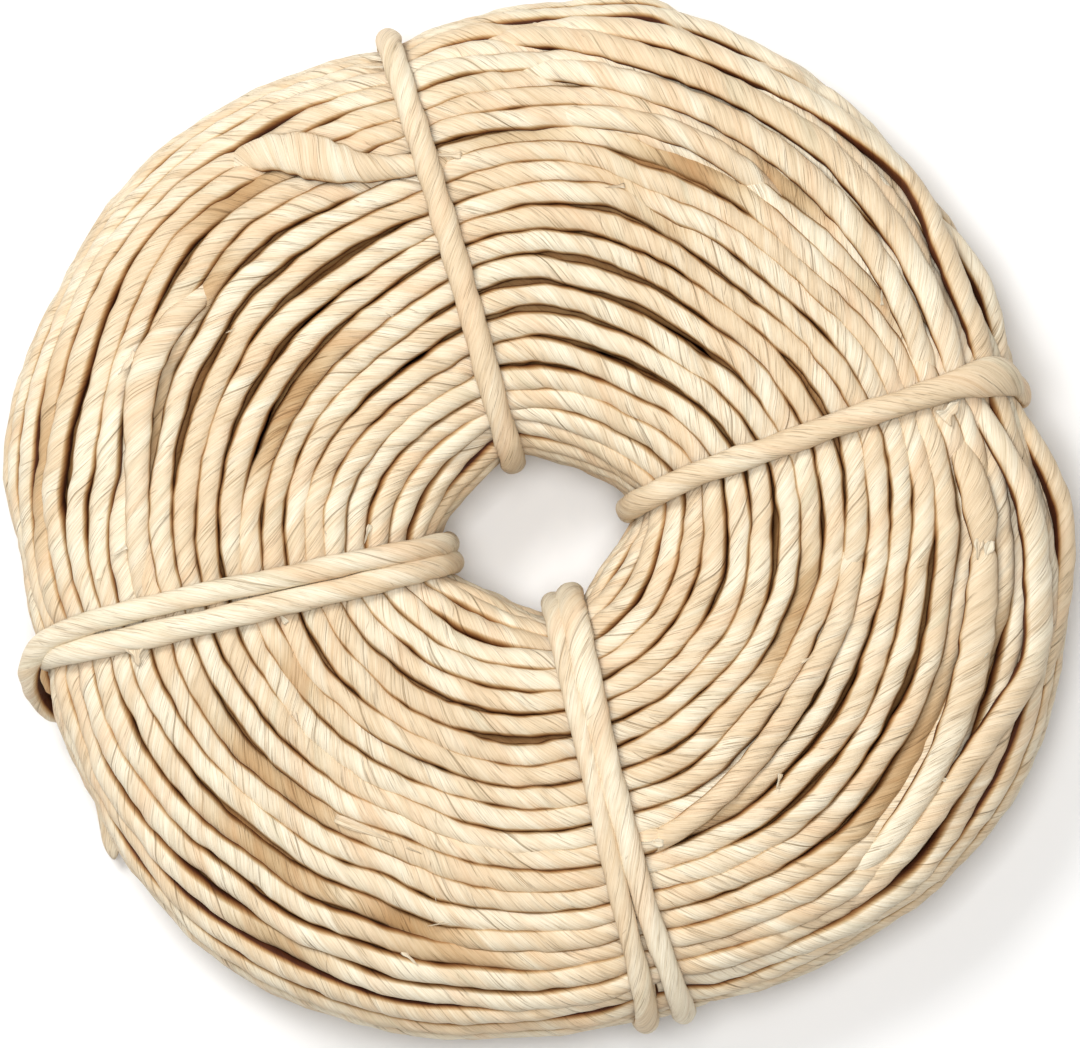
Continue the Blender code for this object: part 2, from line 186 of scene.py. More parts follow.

# Ties, followed from one tucked end to the other. Columns: place round the section (1 at the
# rim, 1.25 on top, 1.5 in the hole, 1.75 underneath, and on for a second wrap), direction in
# degrees, height of the strand's middle over the section, width and thickness in millimetres.
TIES = {
    "tie_top": (
        (0.72, 110, 0, 5, 3.6), (0.82, 108.8, 0, 5, 3.8), (0.95, 107.6, 0.9, 4.9, 4.3),
        (1, 107.4, 1.2, 4.8, 4.5), (1.07, 107.5, 1.3, 5, 4.4), (1.14, 107.4, 1.3, 4.9, 4.2),
        (1.25, 107.5, 1.3, 5, 4.2), (1.35, 109.8, 1.3, 4.9, 4.2), (1.43, 112, 1.4, 5, 4.3),
        (1.50, 113.5, 1.2, 5, 4.3), (1.60, 111.5, 0.6, 5, 3.9), (1.68, 107, 0, 5, 3.6),
        (1.75, 105.2, 0, 5, 3.6), (1.80, 105, 0, 4.8, 3.4),
    ),
    "tie_right": (
        (0.72, 23, 0, 5, 3.6), (0.86, 20, 0, 5, 3.8), (0.93, 17.4, 0.3, 5.6, 3.8),
        (0.97, 16.6, 0.8, 6.6, 3.8), (1, 16.6, 0.9, 6.6, 3.8), (1.025, 17, 0.2, 4, 3.2),
        (1.05, 17.9, 1, 6.4, 4), (1.075, 18.7, 1.5, 8.2, 4.2), (1.10, 19.2, 1.6, 8, 4.2),
        (1.13, 19.6, 1.5, 6.6, 4.2), (1.16, 19.8, 1.4, 5.6, 4.2), (1.20, 20, 1.3, 5, 4.2),
        (1.25, 20.3, 1.3, 4.9, 4.2), (1.35, 21.2, 1.3, 4.9, 4.2), (1.43, 18, 1.4, 5, 4.3),
        (1.50, 15, 1.2, 5, 4.3), (1.60, 17, 0.6, 5, 3.9), (1.68, 18, 0, 5, 3.6),
        (1.75, 18, 0, 5, 3.6), (1.80, 18.2, 0, 4.8, 3.4),
    ),
    "tie_left": (
        (0.74, 203.6, 0, 4.8, 3.6), (0.80, 203.2, 0.4, 4.8, 3.8), (0.87, 202.4, 1.8, 4.8, 4),
        (0.92, 201.2, 2.8, 4.7, 4), (0.96, 199.4, 3.4, 4.6, 4), (0.99, 197.4, 3.9, 4.6, 4),
        (1.02, 195.2, 4, 4.8, 4.2), (1.045, 193.4, 3, 4.9, 4.4), (1.08, 192, 1.7, 4.7, 4.2),
        (1.14, 191.2, 1.3, 4.5, 4.1), (1.25, 190.1, 1.3, 4.5, 4.1), (1.35, 188.2, 1.3, 4.4, 4.1),
        (1.43, 186.8, 1.4, 4.5, 4.2), (1.50, 186.2, 1.2, 4.6, 4.3), (1.60, 187.5, 0.6, 5, 3.9),
        (1.68, 189.5, 0, 5, 3.6), (1.76, 193, 0, 5, 3.6), (1.85, 195, 0, 5, 3.6),
        (1.94, 195, 0, 4, 3.6), (2, 194.4, 0.2, 3.4, 3.4), (2.05, 194.3, 0.8, 3.6, 3.6),
        (2.10, 194.2, 1.2, 4.5, 4), (2.16, 194.3, 1.3, 5.1, 4.1), (2.25, 194.8, 1.3, 4.9, 4.1),
        (2.35, 196.4, 1.3, 4.6, 4.1), (2.43, 197.4, 1.4, 4.6, 4.2), (2.50, 197.6, 1.2, 4.6, 4.3),
        (2.58, 197, 0.6, 4.8, 3.9), (2.66, 196, 0, 4.8, 3.6),
    ),
    "tie_bottom": (
        (0.86, 281, 0, 4.8, 3.6), (0.93, 281.4, 0.6, 4.6, 4), (1, 281.8, 1.6, 4.9, 4.6),
        (1.06, 282.2, 1.5, 4.6, 4.2), (1.14, 282.3, 1.3, 4.2, 4), (1.25, 281.6, 1.3, 4, 3.9),
        (1.35, 279.8, 1.3, 4.1, 4), (1.43, 278.2, 1.4, 4.4, 4.2), (1.50, 277.2, 1.4, 4.6, 4.4),
        (1.60, 279, 0.6, 4.8, 3.9), (1.68, 281.5, 0, 5, 3.6), (1.78, 285, 0, 5, 3.6),
        (1.90, 286.2, 0.2, 4.8, 4), (2, 286.4, 1.6, 4.9, 4.6), (2.07, 286.3, 1.5, 4.6, 4.3),
        (2.14, 285.9, 1.3, 4.4, 4.1), (2.20, 285.3, 1.3, 4.5, 4.1), (2.27, 285.5, 1.4, 5, 4.2),
        (2.35, 287.4, 1.6, 5.6, 4.5), (2.43, 290.6, 1.7, 6, 4.8), (2.50, 293.4, 1.6, 5.4, 4.6),
        (2.58, 290, 0.6, 4.8, 3.9), (2.66, 288, 0, 4.8, 3.6),
    ),
}
PALE_TIES = ("tie_left", "tie_bottom")
TIE_STEP = 0.8 * MM
TIE_SIDES = 20
TIE_TWIST = 1.5                 # length for one turn of its leaf, as a share of the coil's
TIE_DIP = 1.5 * MM              # turns press down this far where a tie crosses them
TIE_DIP_REACH = 4.2 * MM
TIE_FLAT = 1.25 * MM            # reach of its flat bottom, to each side of the tie's middle
TIE_BED = 3.9 * MM              # room that they make for a tie underneath
TIE_BED_REACH = 1.3 * TIE_DIP_REACH
TIE_SHADE_FROM = -0.1

# Places where a cord half untwists and crosses its neighbours. Columns: degrees, radius, height
# over the turns' own middles, width and thickness, in millimetres.
LAPS = {
    "lap_upper_left": (
        (134, 97.8, -6, 4, 3.8), (130.5, 96.6, -1.4, 4.8, 4), (127.9, 94.9, 0.8, 6, 4.4),
        (125, 92, 2.2, 8, 4.8), (122.4, 88.4, 3, 9.4, 5.2), (120, 84.6, 3, 8.4, 5.2),
        (117.2, 81.2, 2.4, 6.4, 4.8), (113.6, 78.8, 1.6, 5, 4.4), (110, 77.6, 0.8, 4.6, 4.2),
        (105.5, 76.6, -0.4, 4.6, 4.2), (100.5, 75.6, -6, 4.4, 4),
    ),
    "lap_left": (
        (139, 81.6, -6, 3.8, 3.8), (145, 83, -0.8, 4.4, 4.2), (151, 84.6, 0.9, 5.2, 4.4),
        (157, 85.4, 1.4, 6.6, 4.4), (162, 84.2, 1.3, 6.2, 4.4), (168, 82.2, 0.9, 5.2, 4.2),
        (174, 80.9, 0.6, 4.8, 4.2), (180, 80.5, 0.3, 4.8, 4.2), (185.5, 80.4, -0.4, 4.6, 4),
        (190, 80.4, -1.6, 4.4, 4), (195, 80.4, -6, 4.2, 3.8),
    ),
    "lap_right": (
        (307, 92.4, -6, 4.2, 4), (312.5, 92.2, -1, 4.6, 4.2), (318, 91.8, 0.5, 5, 4.2),
        (323, 91.4, 0.8, 5.2, 4.2), (329, 90.7, 0.8, 5.4, 4.2), (335, 90, 0.9, 5.9, 4.2),
        (341, 89.3, 1.2, 6.8, 4.2), (347.5, 88.4, 1.2, 7.2, 4), (353, 87.7, 1.2, 6.4, 4),
        (356.8, 87.6, 1, 5.2, 3.8), (358.2, 87.4, 0.6, 4.2, 3.4), (359.8, 87.3, 1.2, 6, 3.8),
        (363.2, 86.6, 1.3, 7, 4), (367, 85.8, 0.9, 6.2, 4), (372, 84.8, -0.8, 4.6, 4),
        (377, 84.2, -6, 4.4, 4),
    ),
    "lap_top": (
        (52, 82, -6, 4, 3.8), (56.5, 81.6, -2.6, 4.4, 4.2), (60.5, 82.2, 0.4, 4.8, 4.4),
        (68, 83.4, 1.1, 4.8, 4.4), (75, 83.8, 0.9, 4.8, 4.4), (83, 83.4, 0.4, 4.6, 4.2),
        (90, 82.6, -1.2, 4.4, 4), (95, 82, -6, 4.4, 4),
    ),
    "lap_rim_top": (
        (96, 101, -6, 4.2, 4), (90, 101.4, -0.8, 4.6, 4.2), (84, 101.9, 0.3, 5.2, 4.4),
        (77, 101.9, 0.8, 5.4, 4.4), (70, 101, 0.9, 5, 4.4), (62, 100.8, 0.9, 5.2, 4.4),
        (54, 101.3, 1, 5.2, 4.4), (48.5, 101.4, 1.3, 5.2, 4.4), (44, 100.8, 1.7, 5.2, 4.4),
        (40.3, 99.6, 1.8, 5.4, 4.4), (36, 97.7, 1.3, 5.4, 4.4), (30, 96, 0.9, 5.2, 4.4),
        (24.5, 95.6, 0.4, 5.2, 4.2), (18.5, 94.4, -1.4, 4.6, 4), (13, 94, -6, 4.2, 4),
    ),
    "lap_rim_right": (
        (304, 96.4, -6, 4.2, 4), (309.5, 96.3, -1, 4.4, 4.2), (315, 96.1, 0.4, 4.6, 4.2),
        (320.5, 95.7, 0.7, 4.8, 4.4), (326, 95.4, 0.9, 4.9, 4.4), (331.5, 95.9, 1.1, 5.2, 4.4),
        (337.5, 97.6, 1.4, 5.6, 4.4), (341.6, 99.2, 1.7, 5.8, 4.4), (345, 100.4, 1.9, 6.2, 4.4),
        (349, 100.1, 1.5, 6.6, 4.4), (353.5, 98.9, 1.2, 6.4, 4.4), (360, 97.6, 1.1, 6, 4.4),
        (366, 95.6, 1, 5.2, 4.4), (372.2, 92, 0.5, 4.8, 4.2), (377, 90.6, -1.2, 4.6, 4),
        (382, 90.2, -6, 4.4, 4),
    ),
    "lap_lower_right": (
        (286.5, 65.6, -6, 3.8, 3.6), (289.8, 65.2, -0.6, 4.6, 4), (293.5, 64.6, 0.7, 4.6, 4.2),
        (298, 63.8, 1.1, 4.4, 4.2), (304, 62.7, 1.2, 4.4, 4.2), (311, 61.6, 1.2, 4.6, 4.2),
        (319, 60.6, 1.1, 4.7, 4.2), (328, 60, 1.1, 4.8, 4.2), (336, 60.4, 1, 4.8, 4.2),
        (344, 61.2, 0.8, 4.7, 4.2), (352, 61.4, 0.2, 4.6, 4.2), (359, 61.2, -1.2, 4.4, 4),
        (365, 61, -6, 4.2, 4),
    ),
    "lap_outer_top": (
        (102, 99.8, -6, 4.2, 4), (96.5, 99.8, -1.4, 4.6, 4.2), (90.6, 99.2, 0.4, 5, 4.2),
        (84, 98, 0.7, 5.4, 4.4), (78.4, 96.9, 0.7, 5.6, 4.4), (67, 95.8, 0.7, 5.4, 4.4),
        (60, 95.1, 0.8, 5.4, 4.4), (54, 94.9, 0.8, 5.6, 4.4), (48.8, 93.8, 0.8, 5.6, 4.4),
        (40.8, 92.2, 0.8, 5.6, 4.4), (34, 90.7, 0.7, 5.6, 4.4), (26, 89.2, 0.4, 5.4, 4.2),
        (18.5, 88.4, -1.4, 4.8, 4), (13, 88, -6, 4.2, 4),
    ),
    "lap_outer_sunken": (
        (63, 98.2, -6, 4.2, 4), (57.5, 98.1, -1.8, 4.6, 4.2), (51, 97.8, -0.8, 5, 4.2),
        (44, 96.4, -0.6, 5, 4.2), (38, 94.8, -0.9, 4.8, 4.2), (33.5, 93.2, -2, 4.4, 4),
        (29, 92.4, -6, 4.2, 4),
    ),
    "lap_outer_second": (
        (98, 93.2, -6, 4.2, 4), (92, 92.9, -1, 4.8, 4.2), (85, 92, 0.5, 5.2, 4.4),
        (77.5, 90.9, 0.7, 5.2, 4.4), (65.2, 89.8, 0.7, 5.4, 4.4), (52, 88, 0.8, 5.6, 4.4),
        (41.7, 86.3, 0.7, 5.2, 4.4), (31.2, 84.4, 0.5, 5, 4.2), (23.5, 83.2, -0.8, 4.8, 4),
        (18, 82.6, -6, 4.4, 4),
    ),
}
# Length of each lap for one turn of its leaf, as a share of the coil's.
LAP_TWISTS = {
    "lap_upper_left": 0.75, "lap_left": 0.8, "lap_right": 1.3, "lap_top": 1, "lap_rim_top": 1,
    "lap_rim_right": 1.25, "lap_lower_right": 1.1, "lap_outer_top": 1.1, "lap_outer_sunken": 0.9,
    "lap_outer_second": 1,
}
LAP_SIDES = 24
LAP_SHADE_FROM = 0.42
LAP_DIP = 2.2 * MM              # turns sink this far under a lap
LAP_DIP_REACH = 4.2 * MM        # to each side of a lap of the next line's width
LAP_WIDTH = 5                   # in millimetres, as are the next two
LAP_BURIED = 2.0                # depth of a lap where the turns stop making room for it
LAP_RISE = 2.5                  # how much higher it lies where they make all of it

# Loose turns that stand off the rim. Columns as for the ties.
RIM_TURNS = {
    "loose_turn_top": (
        (1.04, 108, -6, 4.2, 4.2), (1.04, 98, -3.2, 4.4, 4.4), (1.035, 88, -2.2, 4.4, 4.4),
        (1.03, 79, -2.2, 4.4, 4.4), (1.03, 70, -1.5, 4.2, 4.2), (1.03, 63, -1.2, 4.2, 4.2),
        (1.02, 58, -1.9, 4.2, 4.2), (1, 53, -3.6, 4.2, 4.2), (0.99, 48, -6, 4.2, 4.2),
    ),
    "loose_turn_corner": (
        (1.03, 66, -6, 4, 4), (1.03, 61.5, -2.8, 4.2, 4.2), (1.025, 57, -1.2, 4.2, 4.2),
        (1.025, 52, -0.9, 4.2, 4.2), (1.02, 47.5, -1.2, 4.2, 4.2), (1.02, 43.5, -2.2, 4.2, 4.2),
        (1.01, 40, -3.8, 4.2, 4.2), (1, 36, -6, 4, 4),
    ),
    "loose_turn_shoulder": (
        (1.03, 46, -6, 4, 4), (1.03, 41.5, -2.8, 4.2, 4.2), (1.03, 37.5, -0.9, 4.2, 4.2),
        (1.03, 33, -0.3, 4.2, 4.2), (1.03, 28.5, -0.3, 4.2, 4.2), (1.03, 23, -1.2, 4.2, 4.2),
        (1.03, 17, -3.2, 4.2, 4.2), (1.03, 11, -6, 4, 4),
    ),
    "loose_turn_right": (
        (1.025, 325, -6, 4.2, 4.2), (1.025, 334, -3.6, 4.4, 4.4), (1.03, 343, -2.2, 4.6, 4.6),
        (1.03, 350, -1.8, 4.8, 4.6), (1.03, 357, -1.4, 4.8, 4.6), (1.03, 363.5, -0.6, 4.8, 4.6),
        (1.04, 369, -0.6, 4.6, 4.4), (1.04, 374, -1.6, 4.4, 4.4), (1.05, 379, -3.8, 4.2, 4.2),
        (1.05, 384, -6, 4.2, 4.2),
    ),
    "loose_turn_left": (
        (0.94, 183, -6.6, 4.2, 4.2), (0.94, 188.5, -1.8, 4.6, 4.8), (0.94, 192, 2, 4.8, 5.4),
        (0.94, 196, 2.8, 4.8, 5.8), (0.94, 200, 1.6, 4.8, 5.4), (0.94, 205, -1.8, 4.6, 4.8),
        (0.94, 210, -6.6, 4.2, 4.2),
    ),
}
LOOSE_TURN_SIDES = 16
LOOSE_TURN_SHADE_FROM = 0.1
SHADED_TURNS = {"loose_turn_left": 0.5}     # painted shade: how much darker than the others, for the shadow behind the left tie's loop

# Dents of the rim under its loose turns. Columns: from degrees, to degrees, depth in millimetres.
RIM_DENTS = ((62, 78, 4.2), (20, 38, 2.6), (350, 376, 3))
RIM_DENT_REACH = 0.20           # of the way round the section
RIM_DENT_STEEPNESS = 1.6        # of its fall to both sides

# Torn leaf edges that lift off the turns. Columns: degrees, radius, height over the smooth
# section, heading in degrees from the turn's own direction (positive is outwards), length,
# width and lift of the tip, in millimetres.
SCRAPS = (
    (108.9, 100, 0.9, 46, 7.5, 2.8, 0.4), (109.6, 98.6, 0.9, 24, 5, 1.6, 0.5),
    (16.4, 83.4, 1.6, 60, 5, 4.6, 0.5), (358.4, 88.6, 1.7, -160, 4.4, 3.4, 0.3),
    (358.6, 86.4, 1.7, -176, 4.2, 3, 0.2), (203.6, 104.4, -3, 60, 4, 3, 0.8),
    (196.2, 84.2, 2.6, 8, 4, 4.2, -0.5), (343.4, 89.4, 2, 40, 4.4, 3, 0.3),
    (290.2, 65.4, 0.9, 200, 5, 2.6, 0.4), (250.9, 67.7, 0.9, 80, 2.8, 0.5, 1.4),
    (253.2, 74.6, 0.9, 60, 2.4, 0.5, 1.2), (205, 103, -2, 20, 4.5, 2.4, 1),
    (181.6, 42.4, 0.6, 150, 3, 1.2, 1), (178.8, 34.6, 0.5, 20, 4, 1.6, 1.2),
    (198.4, 54.2, 0.6, 160, 4, 1.8, 1.4), (157, 88.6, 1, 14, 5.5, 2.6, 1.4),
    (137.4, 49.4, 0.5, 70, 2.2, 1, 1), (314, 67.4, 0.6, 150, 3.4, 1.6, 1.4),
    (333.6, 57.2, 0.6, 40, 3.6, 1.6, 1.4), (328.4, 93.4, 0.8, 75, 4, 1.6, 1.6),
    (83.6, 97.6, 0.9, 20, 5, 2.4, 1.2), (77.6, 70.4, 0.6, -20, 4, 1.6, 1),
    (237.6, 68.9, 1.1, -10, 18.5, 2.8, 0.5), (256, 79.6, 0.6, 158, 5, 1.2, 1.4),
    (252, 88, 0.6, 20, 4, 1.8, 1.2), (103.2, 77, 0.9, 12, 5, 2.4, 0.8),
    (34.4, 81.4, 0.7, 30, 3, 1.2, 1), (182.2, 83.4, 0.8, 60, 3.6, 1.6, 1.4),
    (185.8, 87.4, 0.7, 80, 3, 1.2, 1.4), (316, 101.6, 0, 60, 5, 2.2, 0.6),
    (145.6, 72.6, 0.7, 30, 4.4, 1.8, 1.2), (215, 60.6, 0.6, 15, 5, 2, 1),
    (124.6, 52, 0.5, 60, 2.6, 1, 1),
)
SCRAP_ROWS = 12
SCRAP_COLUMNS = 5
SCRAP_ROOT = 0.25               # share of its length that lies behind its place
SCRAP_REACH = 105.0             # furthest out that a scrap takes its height from, in millimetres
SCRAP_SINK = 0.4 * MM
SCRAP_CUP = 0.35                # how far its sides curl up, as a share of half its width
SCRAP_TEAR = 0.10               # how far its tip strays, as the same share
SCRAP_TIP = 0.04                # smallest share of its width
SCRAP_TINT = 0.7
SCRAP_THICKNESS = 0.22 * MM

# Cut end of the cord, as in the solids. Columns: degrees, radius, height.
LOOSE_END = (
    (198.5, 0.0990, 0.0054), (202.5, 0.1003, 0.0048), (207, 0.1016, 0.0044),
    (211, 0.1033, 0.0042), (214.4, 0.1057, 0.0042), (217.5, 0.1089, 0.0042),
)
LOOSE_END_WIDTH = 3.8 * MM
LOOSE_END_STEP = 0.6 * MM
LOOSE_END_SIDES = 16
LOOSE_END_TAPER = 1.9 * MM      # how far back from its tip it thins
LOOSE_END_THINNING = 0.85
LOOSE_END_SPREAD = (1.05, 0.9)  # its width and thickness, as shares of its size
LOOSE_END_TWIST = 1.6           # length for one turn of its leaf, as a share of the coil's
LOOSE_END_SHADE_FROM = -0.7

# Leaf finishes. Columns: name, paleness, streaking, seaming, and painted shade all over for
# turns that lie in shadow.
LEAF_FINISHES = (
    ("maize_leaf", 0.0, 1.0, 1.0, 0.0), ("tie_leaf", 0.12, 0.8, 0.8, 0.0),
    ("lap_leaf", -0.06, 1.0, 0.35, 0.0), ("shaded_leaf", -0.10, 0.6, 0.6, 0.58),
)

CAMERA_HEIGHT = 2.4
SENSOR_WIDTH = 36.0
PHOTO_WIDTH = 1080
PHOTO_PIXEL = 0.0002            # metres of the coil's rim to one pixel
PHOTO_CENTRE = (-0.0003, -0.0001)

FLOOR_SIZE = 6.0
FLOOR_DROP = 0.2 * MM           # keeps the floor clear of the lowest turns
ROOM_COLOUR = (1.0, 0.99, 0.97, 1.0)
ROOM_STRENGTH = 0.28
# Lights. Columns: name, place, size and power.
LIGHTS = (
    ("key_light", (-0.50, 0.55, 1.1), 0.45, 9.8),
    ("top_light", (-0.03, 0.03, 1.5), 0.5, 13.9),
)


def length_setting(label, note, default, low, high, precision=4):
    """A length that the panel shows."""
    return bpy.props.FloatProperty(name=label, description=note, default=default, min=low,
                                   max=high, precision=precision, unit="LENGTH")


def colour_setting(label, note, default):
    """A colour that the panel shows."""
    return bpy.props.FloatVectorProperty(name=label, description=note, default=default, size=3,
                                         subtype="COLOR", min=0.0, max=1.0)


class CordSizes(bpy.types.PropertyGroup):
    """Sizes of the cord."""

    cord_diameter: length_setting("Cord", "Diameter of the twisted cord", 0.0046, 0.003, 0.008)
    skin_turns: bpy.props.IntProperty(
        name="Turns", description="Turns that show, once round the ring's section",
        default=50, min=30, max=70)
    twist_lead: length_setting("Twist", "Length of cord in which the leaf goes once round",
                               0.0170, 0.008, 0.05)
    sway: length_setting("Sway", "How far a turn wanders sideways", 0.0005, 0.0, 0.002, 5)
    lift: length_setting("Lift", "How far a turn rises and sinks", 0.0006, 0.0, 0.002, 5)


class LeafColours(bpy.types.PropertyGroup):
    """Colours of the dry leaf."""

    cream: colour_setting("Cream", "Pale dry leaf", (0.90, 0.81, 0.635))
    straw: colour_setting("Straw", "Ordinary dry leaf", (0.80, 0.64, 0.44))
    peach: colour_setting("Peach", "Warm patches", (0.84, 0.62, 0.41))
    sage: colour_setting("Sage", "Faint green-grey patches", (0.66, 0.60, 0.43))
    crease: colour_setting("Crease", "Creases and leaf edges", (0.30, 0.19, 0.09))


def ease(value):
    """Smooth step from 0 to 1, for arrays and single values."""
    value = np.clip(value, 0.0, 1.0)
    return value * value * (3.0 - 2.0 * value)


def drift(run, length, seed):
    """Smooth swing between about -1 and 1 along a run, over roughly the given length."""
    random = np.random.RandomState(seed)
    total = np.zeros_like(run)
    for share in DRIFT_WAVES:
        wave = length * share * random.uniform(0.9, 1.1)
        total += share * np.sin(2 * np.pi * (run / wave + random.uniform()))
    return total / DRIFT_TOTAL


def past(degrees, middle):
    """Degrees past a direction, from -180 to 180."""
    return (degrees - middle + 180) % 360 - 180


def outline_at(degrees, column, easing):
    """Radius of the outline in each direction, evened out over some degrees to each side."""
    table = np.array(OUTLINE)
    nearby = np.asarray(degrees, float)[..., None] + np.linspace(-easing, easing, OUTLINE_PROBES)
    return np.interp(nearby, table[:, 0], table[:, column], period=360).mean(axis=-1)


def ring_at(degrees):
    """Middle radius of the ring, half its width, and how far its rim departs from a rounder one.

    The rim's dents under the ties press the outer turns together and hardly reach the inner ones.
    """
    hole = outline_at(degrees, 2, OUTLINE_EASING)
    round_rim = outline_at(degrees, 1, RIM_ROUNDING)
    dent = outline_at(degrees, 1, OUTLINE_EASING) - round_rim
    return (round_rim + hole) / 2, (round_rim - hole) / 2, dent


def section_at(place, degrees):
    """Smooth cross-section: radius, height and the two parts of its outward normal.

    place goes once round the section, 0 at the rim, a quarter on top and half in the hole.
    """
    middle, half_width, dent = ring_at(degrees)
    half_height = SECTION_HEIGHT / 2
    swing = 2 * np.pi * np.asarray(place, float)
    across, up = np.cos(swing), np.sin(swing)
    power = np.where(across > 0, OUTER_FULLNESS, INNER_FULLNESS)
    x = np.sign(across) * np.abs(across) ** (2 / power)
    z = np.sign(up) * np.abs(up) ** (2 / power)
    normal_x = np.sign(x) * np.abs(x) ** (power - 1) / half_width
    normal_z = np.sign(z) * np.abs(z) ** (power - 1) / half_height
    size = np.hypot(normal_x, normal_z)
    radius = middle + half_width * x + dent * np.maximum(x, 0.0) ** 2
    height = half_height * (1 + z) - FLAT_PRESS
    return radius, height, normal_x / size, normal_z / size


def top_place(radius, degrees):
    """Place round the section of a point of the upper face, from its radius."""
    middle, half_width, dent = ring_at(degrees)
    apart = radius - middle
    dent = np.where(apart > 0, dent, 0.0)
    x = np.clip(2 * apart / (half_width + np.sqrt(half_width ** 2 + 4 * dent * apart)), -1, 1)
    power = np.where(x > 0, OUTER_FULLNESS, INNER_FULLNESS)
    return np.arccos(np.sign(x) * np.abs(x) ** (power / 2)) / (2 * np.pi)


PLACES = np.linspace(0.0, 1.0, SECTION_SAMPLES + 1)
_mean_radius, _mean_height = section_at(PLACES, np.full(PLACES.shape, MEAN_DIRECTION))[:2]
ARCS = np.concatenate(((0.0,), np.cumsum(np.hypot(np.diff(_mean_radius), np.diff(_mean_height)))))
GIRTH = ARCS[-1]


def in_world(radius, degrees, height):
    """Points at a radius and direction from the axis of the hole."""
    angle = np.radians(degrees)
    return np.stack((AXIS_X + radius * np.cos(angle), AXIS_Y + radius * np.sin(angle),
                     height), axis=-1)


def outward_in_world(normal_x, normal_z, degrees):
    """Outward normals of the section in each direction."""
    angle = np.radians(degrees)
    return np.stack((normal_x * np.cos(angle), normal_x * np.sin(angle), normal_z), axis=-1)


def smooth_line(rows):
    """Fine, rounded samples along a table of places, as columns."""
    last = len(rows) - 1
    fine = np.linspace(0, last, LINE_SAMPLES * last + 1)
    kernel = np.hanning(LINE_SAMPLES + 1)
    kernel /= kernel.sum()
    smoothed = []
    for column in np.array(rows).T:
        padded = np.pad(np.interp(fine, np.arange(last + 1), column), LINE_SAMPLES // 2, "edge")
        smoothed.append(np.convolve(padded, kernel, mode="valid"))
    return smoothed


def tie_closeness(place, degrees, radius, reach):
    """1 under the ties, easing to 0 away from them, for points round the section."""
    closeness = np.zeros_like(radius)
    for rows in TIES.values():
        line_place, line_degrees, _, width, _ = smooth_line(rows)
        for wrap in range(int(line_place[0]), int(line_place[-1]) + 1):
            on_wrap = (line_place >= wrap) & (line_place <= wrap + 1)
            if on_wrap.sum() < 2:
                continue
            middle = np.interp(place, line_place[on_wrap] - wrap, line_degrees[on_wrap],
                               left=np.nan, right=np.nan)
            distance = np.radians(np.abs(past(degrees, middle))) * radius - TIE_FLAT
            near = np.exp(-(np.maximum(distance, 0) / reach) ** 2)
            closeness = np.maximum(closeness, np.nan_to_num(near))
    return closeness


def lap_closeness(degrees, radius):
    """1 under a lap, easing to 0 beside it, for points of the upper face."""
    closeness = np.zeros_like(radius)
    for rows in LAPS.values():
        line_degrees, line_radius, line_height, width, _ = smooth_line(rows)
        order = np.argsort(line_degrees)
        centre = line_degrees.mean()
        wrapped = past(degrees, centre) + centre
        middle = np.interp(wrapped, line_degrees[order], line_radius[order] * MM,
                           left=np.nan, right=np.nan)
        height = np.interp(wrapped, line_degrees[order], line_height[order])
        wide = np.interp(wrapped, line_degrees[order], width[order]) / LAP_WIDTH
        near = (np.exp(-((radius - middle) / (LAP_DIP_REACH * wide)) ** 2)
                * ease((height + LAP_BURIED) / LAP_RISE))
        closeness = np.maximum(closeness, np.nan_to_num(near))
    return closeness


def furrow_arc_at(furrow, degrees):
    """Place of a furrow's middle, measured round the section."""
    start, end, first_radius, last_radius, _ = furrow
    share = np.clip(past(degrees, start) / (end - start), -FURROW_OVERRUN, 1 + FURROW_OVERRUN)
    radius = (first_radius + (last_radius - first_radius) * share) * MM
    return np.interp(top_place(radius, degrees), PLACES, ARCS)


def one_furrow_shift(furrow, split, centring, arc, degrees, pitch):
    """How far one furrow moves the turns aside.

    The furrow lies between the two turns on either side of split. centring brings the place
    between them to the furrow's own middle.
    """
    start, end, first_radius, last_radius, width = furrow
    middle = (start + end) / 2
    beyond = past(degrees, middle)
    radius = (first_radius + last_radius) / 2 * MM
    half_length = math.radians(end - start) / 2 * radius
    distance = np.abs(np.radians(beyond)) * radius
    closing = np.clip(distance / (half_length * FURROW_CLOSING), 0, 1)
    opening = np.cos(np.pi / 2 * closing) ** 0.8
    settling = ease((half_length + FURROW_EASE - distance) / FURROW_EASE)
    at_middle = arc - beyond / 360 * pitch
    apart = at_middle - split
    near = np.clip(1 - np.abs(apart) / FURROW_REACH, 0, 1)
    drifted = (furrow_arc_at(furrow, degrees) - furrow_arc_at(furrow, np.array(middle))
               - beyond / 360 * pitch)
    aside = np.clip(centring + drifted, -SETTLING_LIMIT, SETTLING_LIMIT)
    wide = np.clip(1 - np.abs(apart) / SETTLING_REACH, 0, 1)
    return (opening * near ** 1.6 * np.sign(apart) * width * MM * FURROW_SHARE / 2
            + settling * wide * aside)


def moved_turns(middle, count, settled):
    """Places of all turns in one direction, before the furrows move them and after."""
    pitch = GIRTH / count
    since_start = ((middle - WINDING_START) % 360) / 360
    nominal = (np.arange(FIRST_TURN, count) + since_start) * pitch
    moved = nominal.copy()
    for furrow in settled:
        moved += one_furrow_shift(*furrow, nominal, np.full(nominal.shape, middle), pitch)
    return nominal, moved


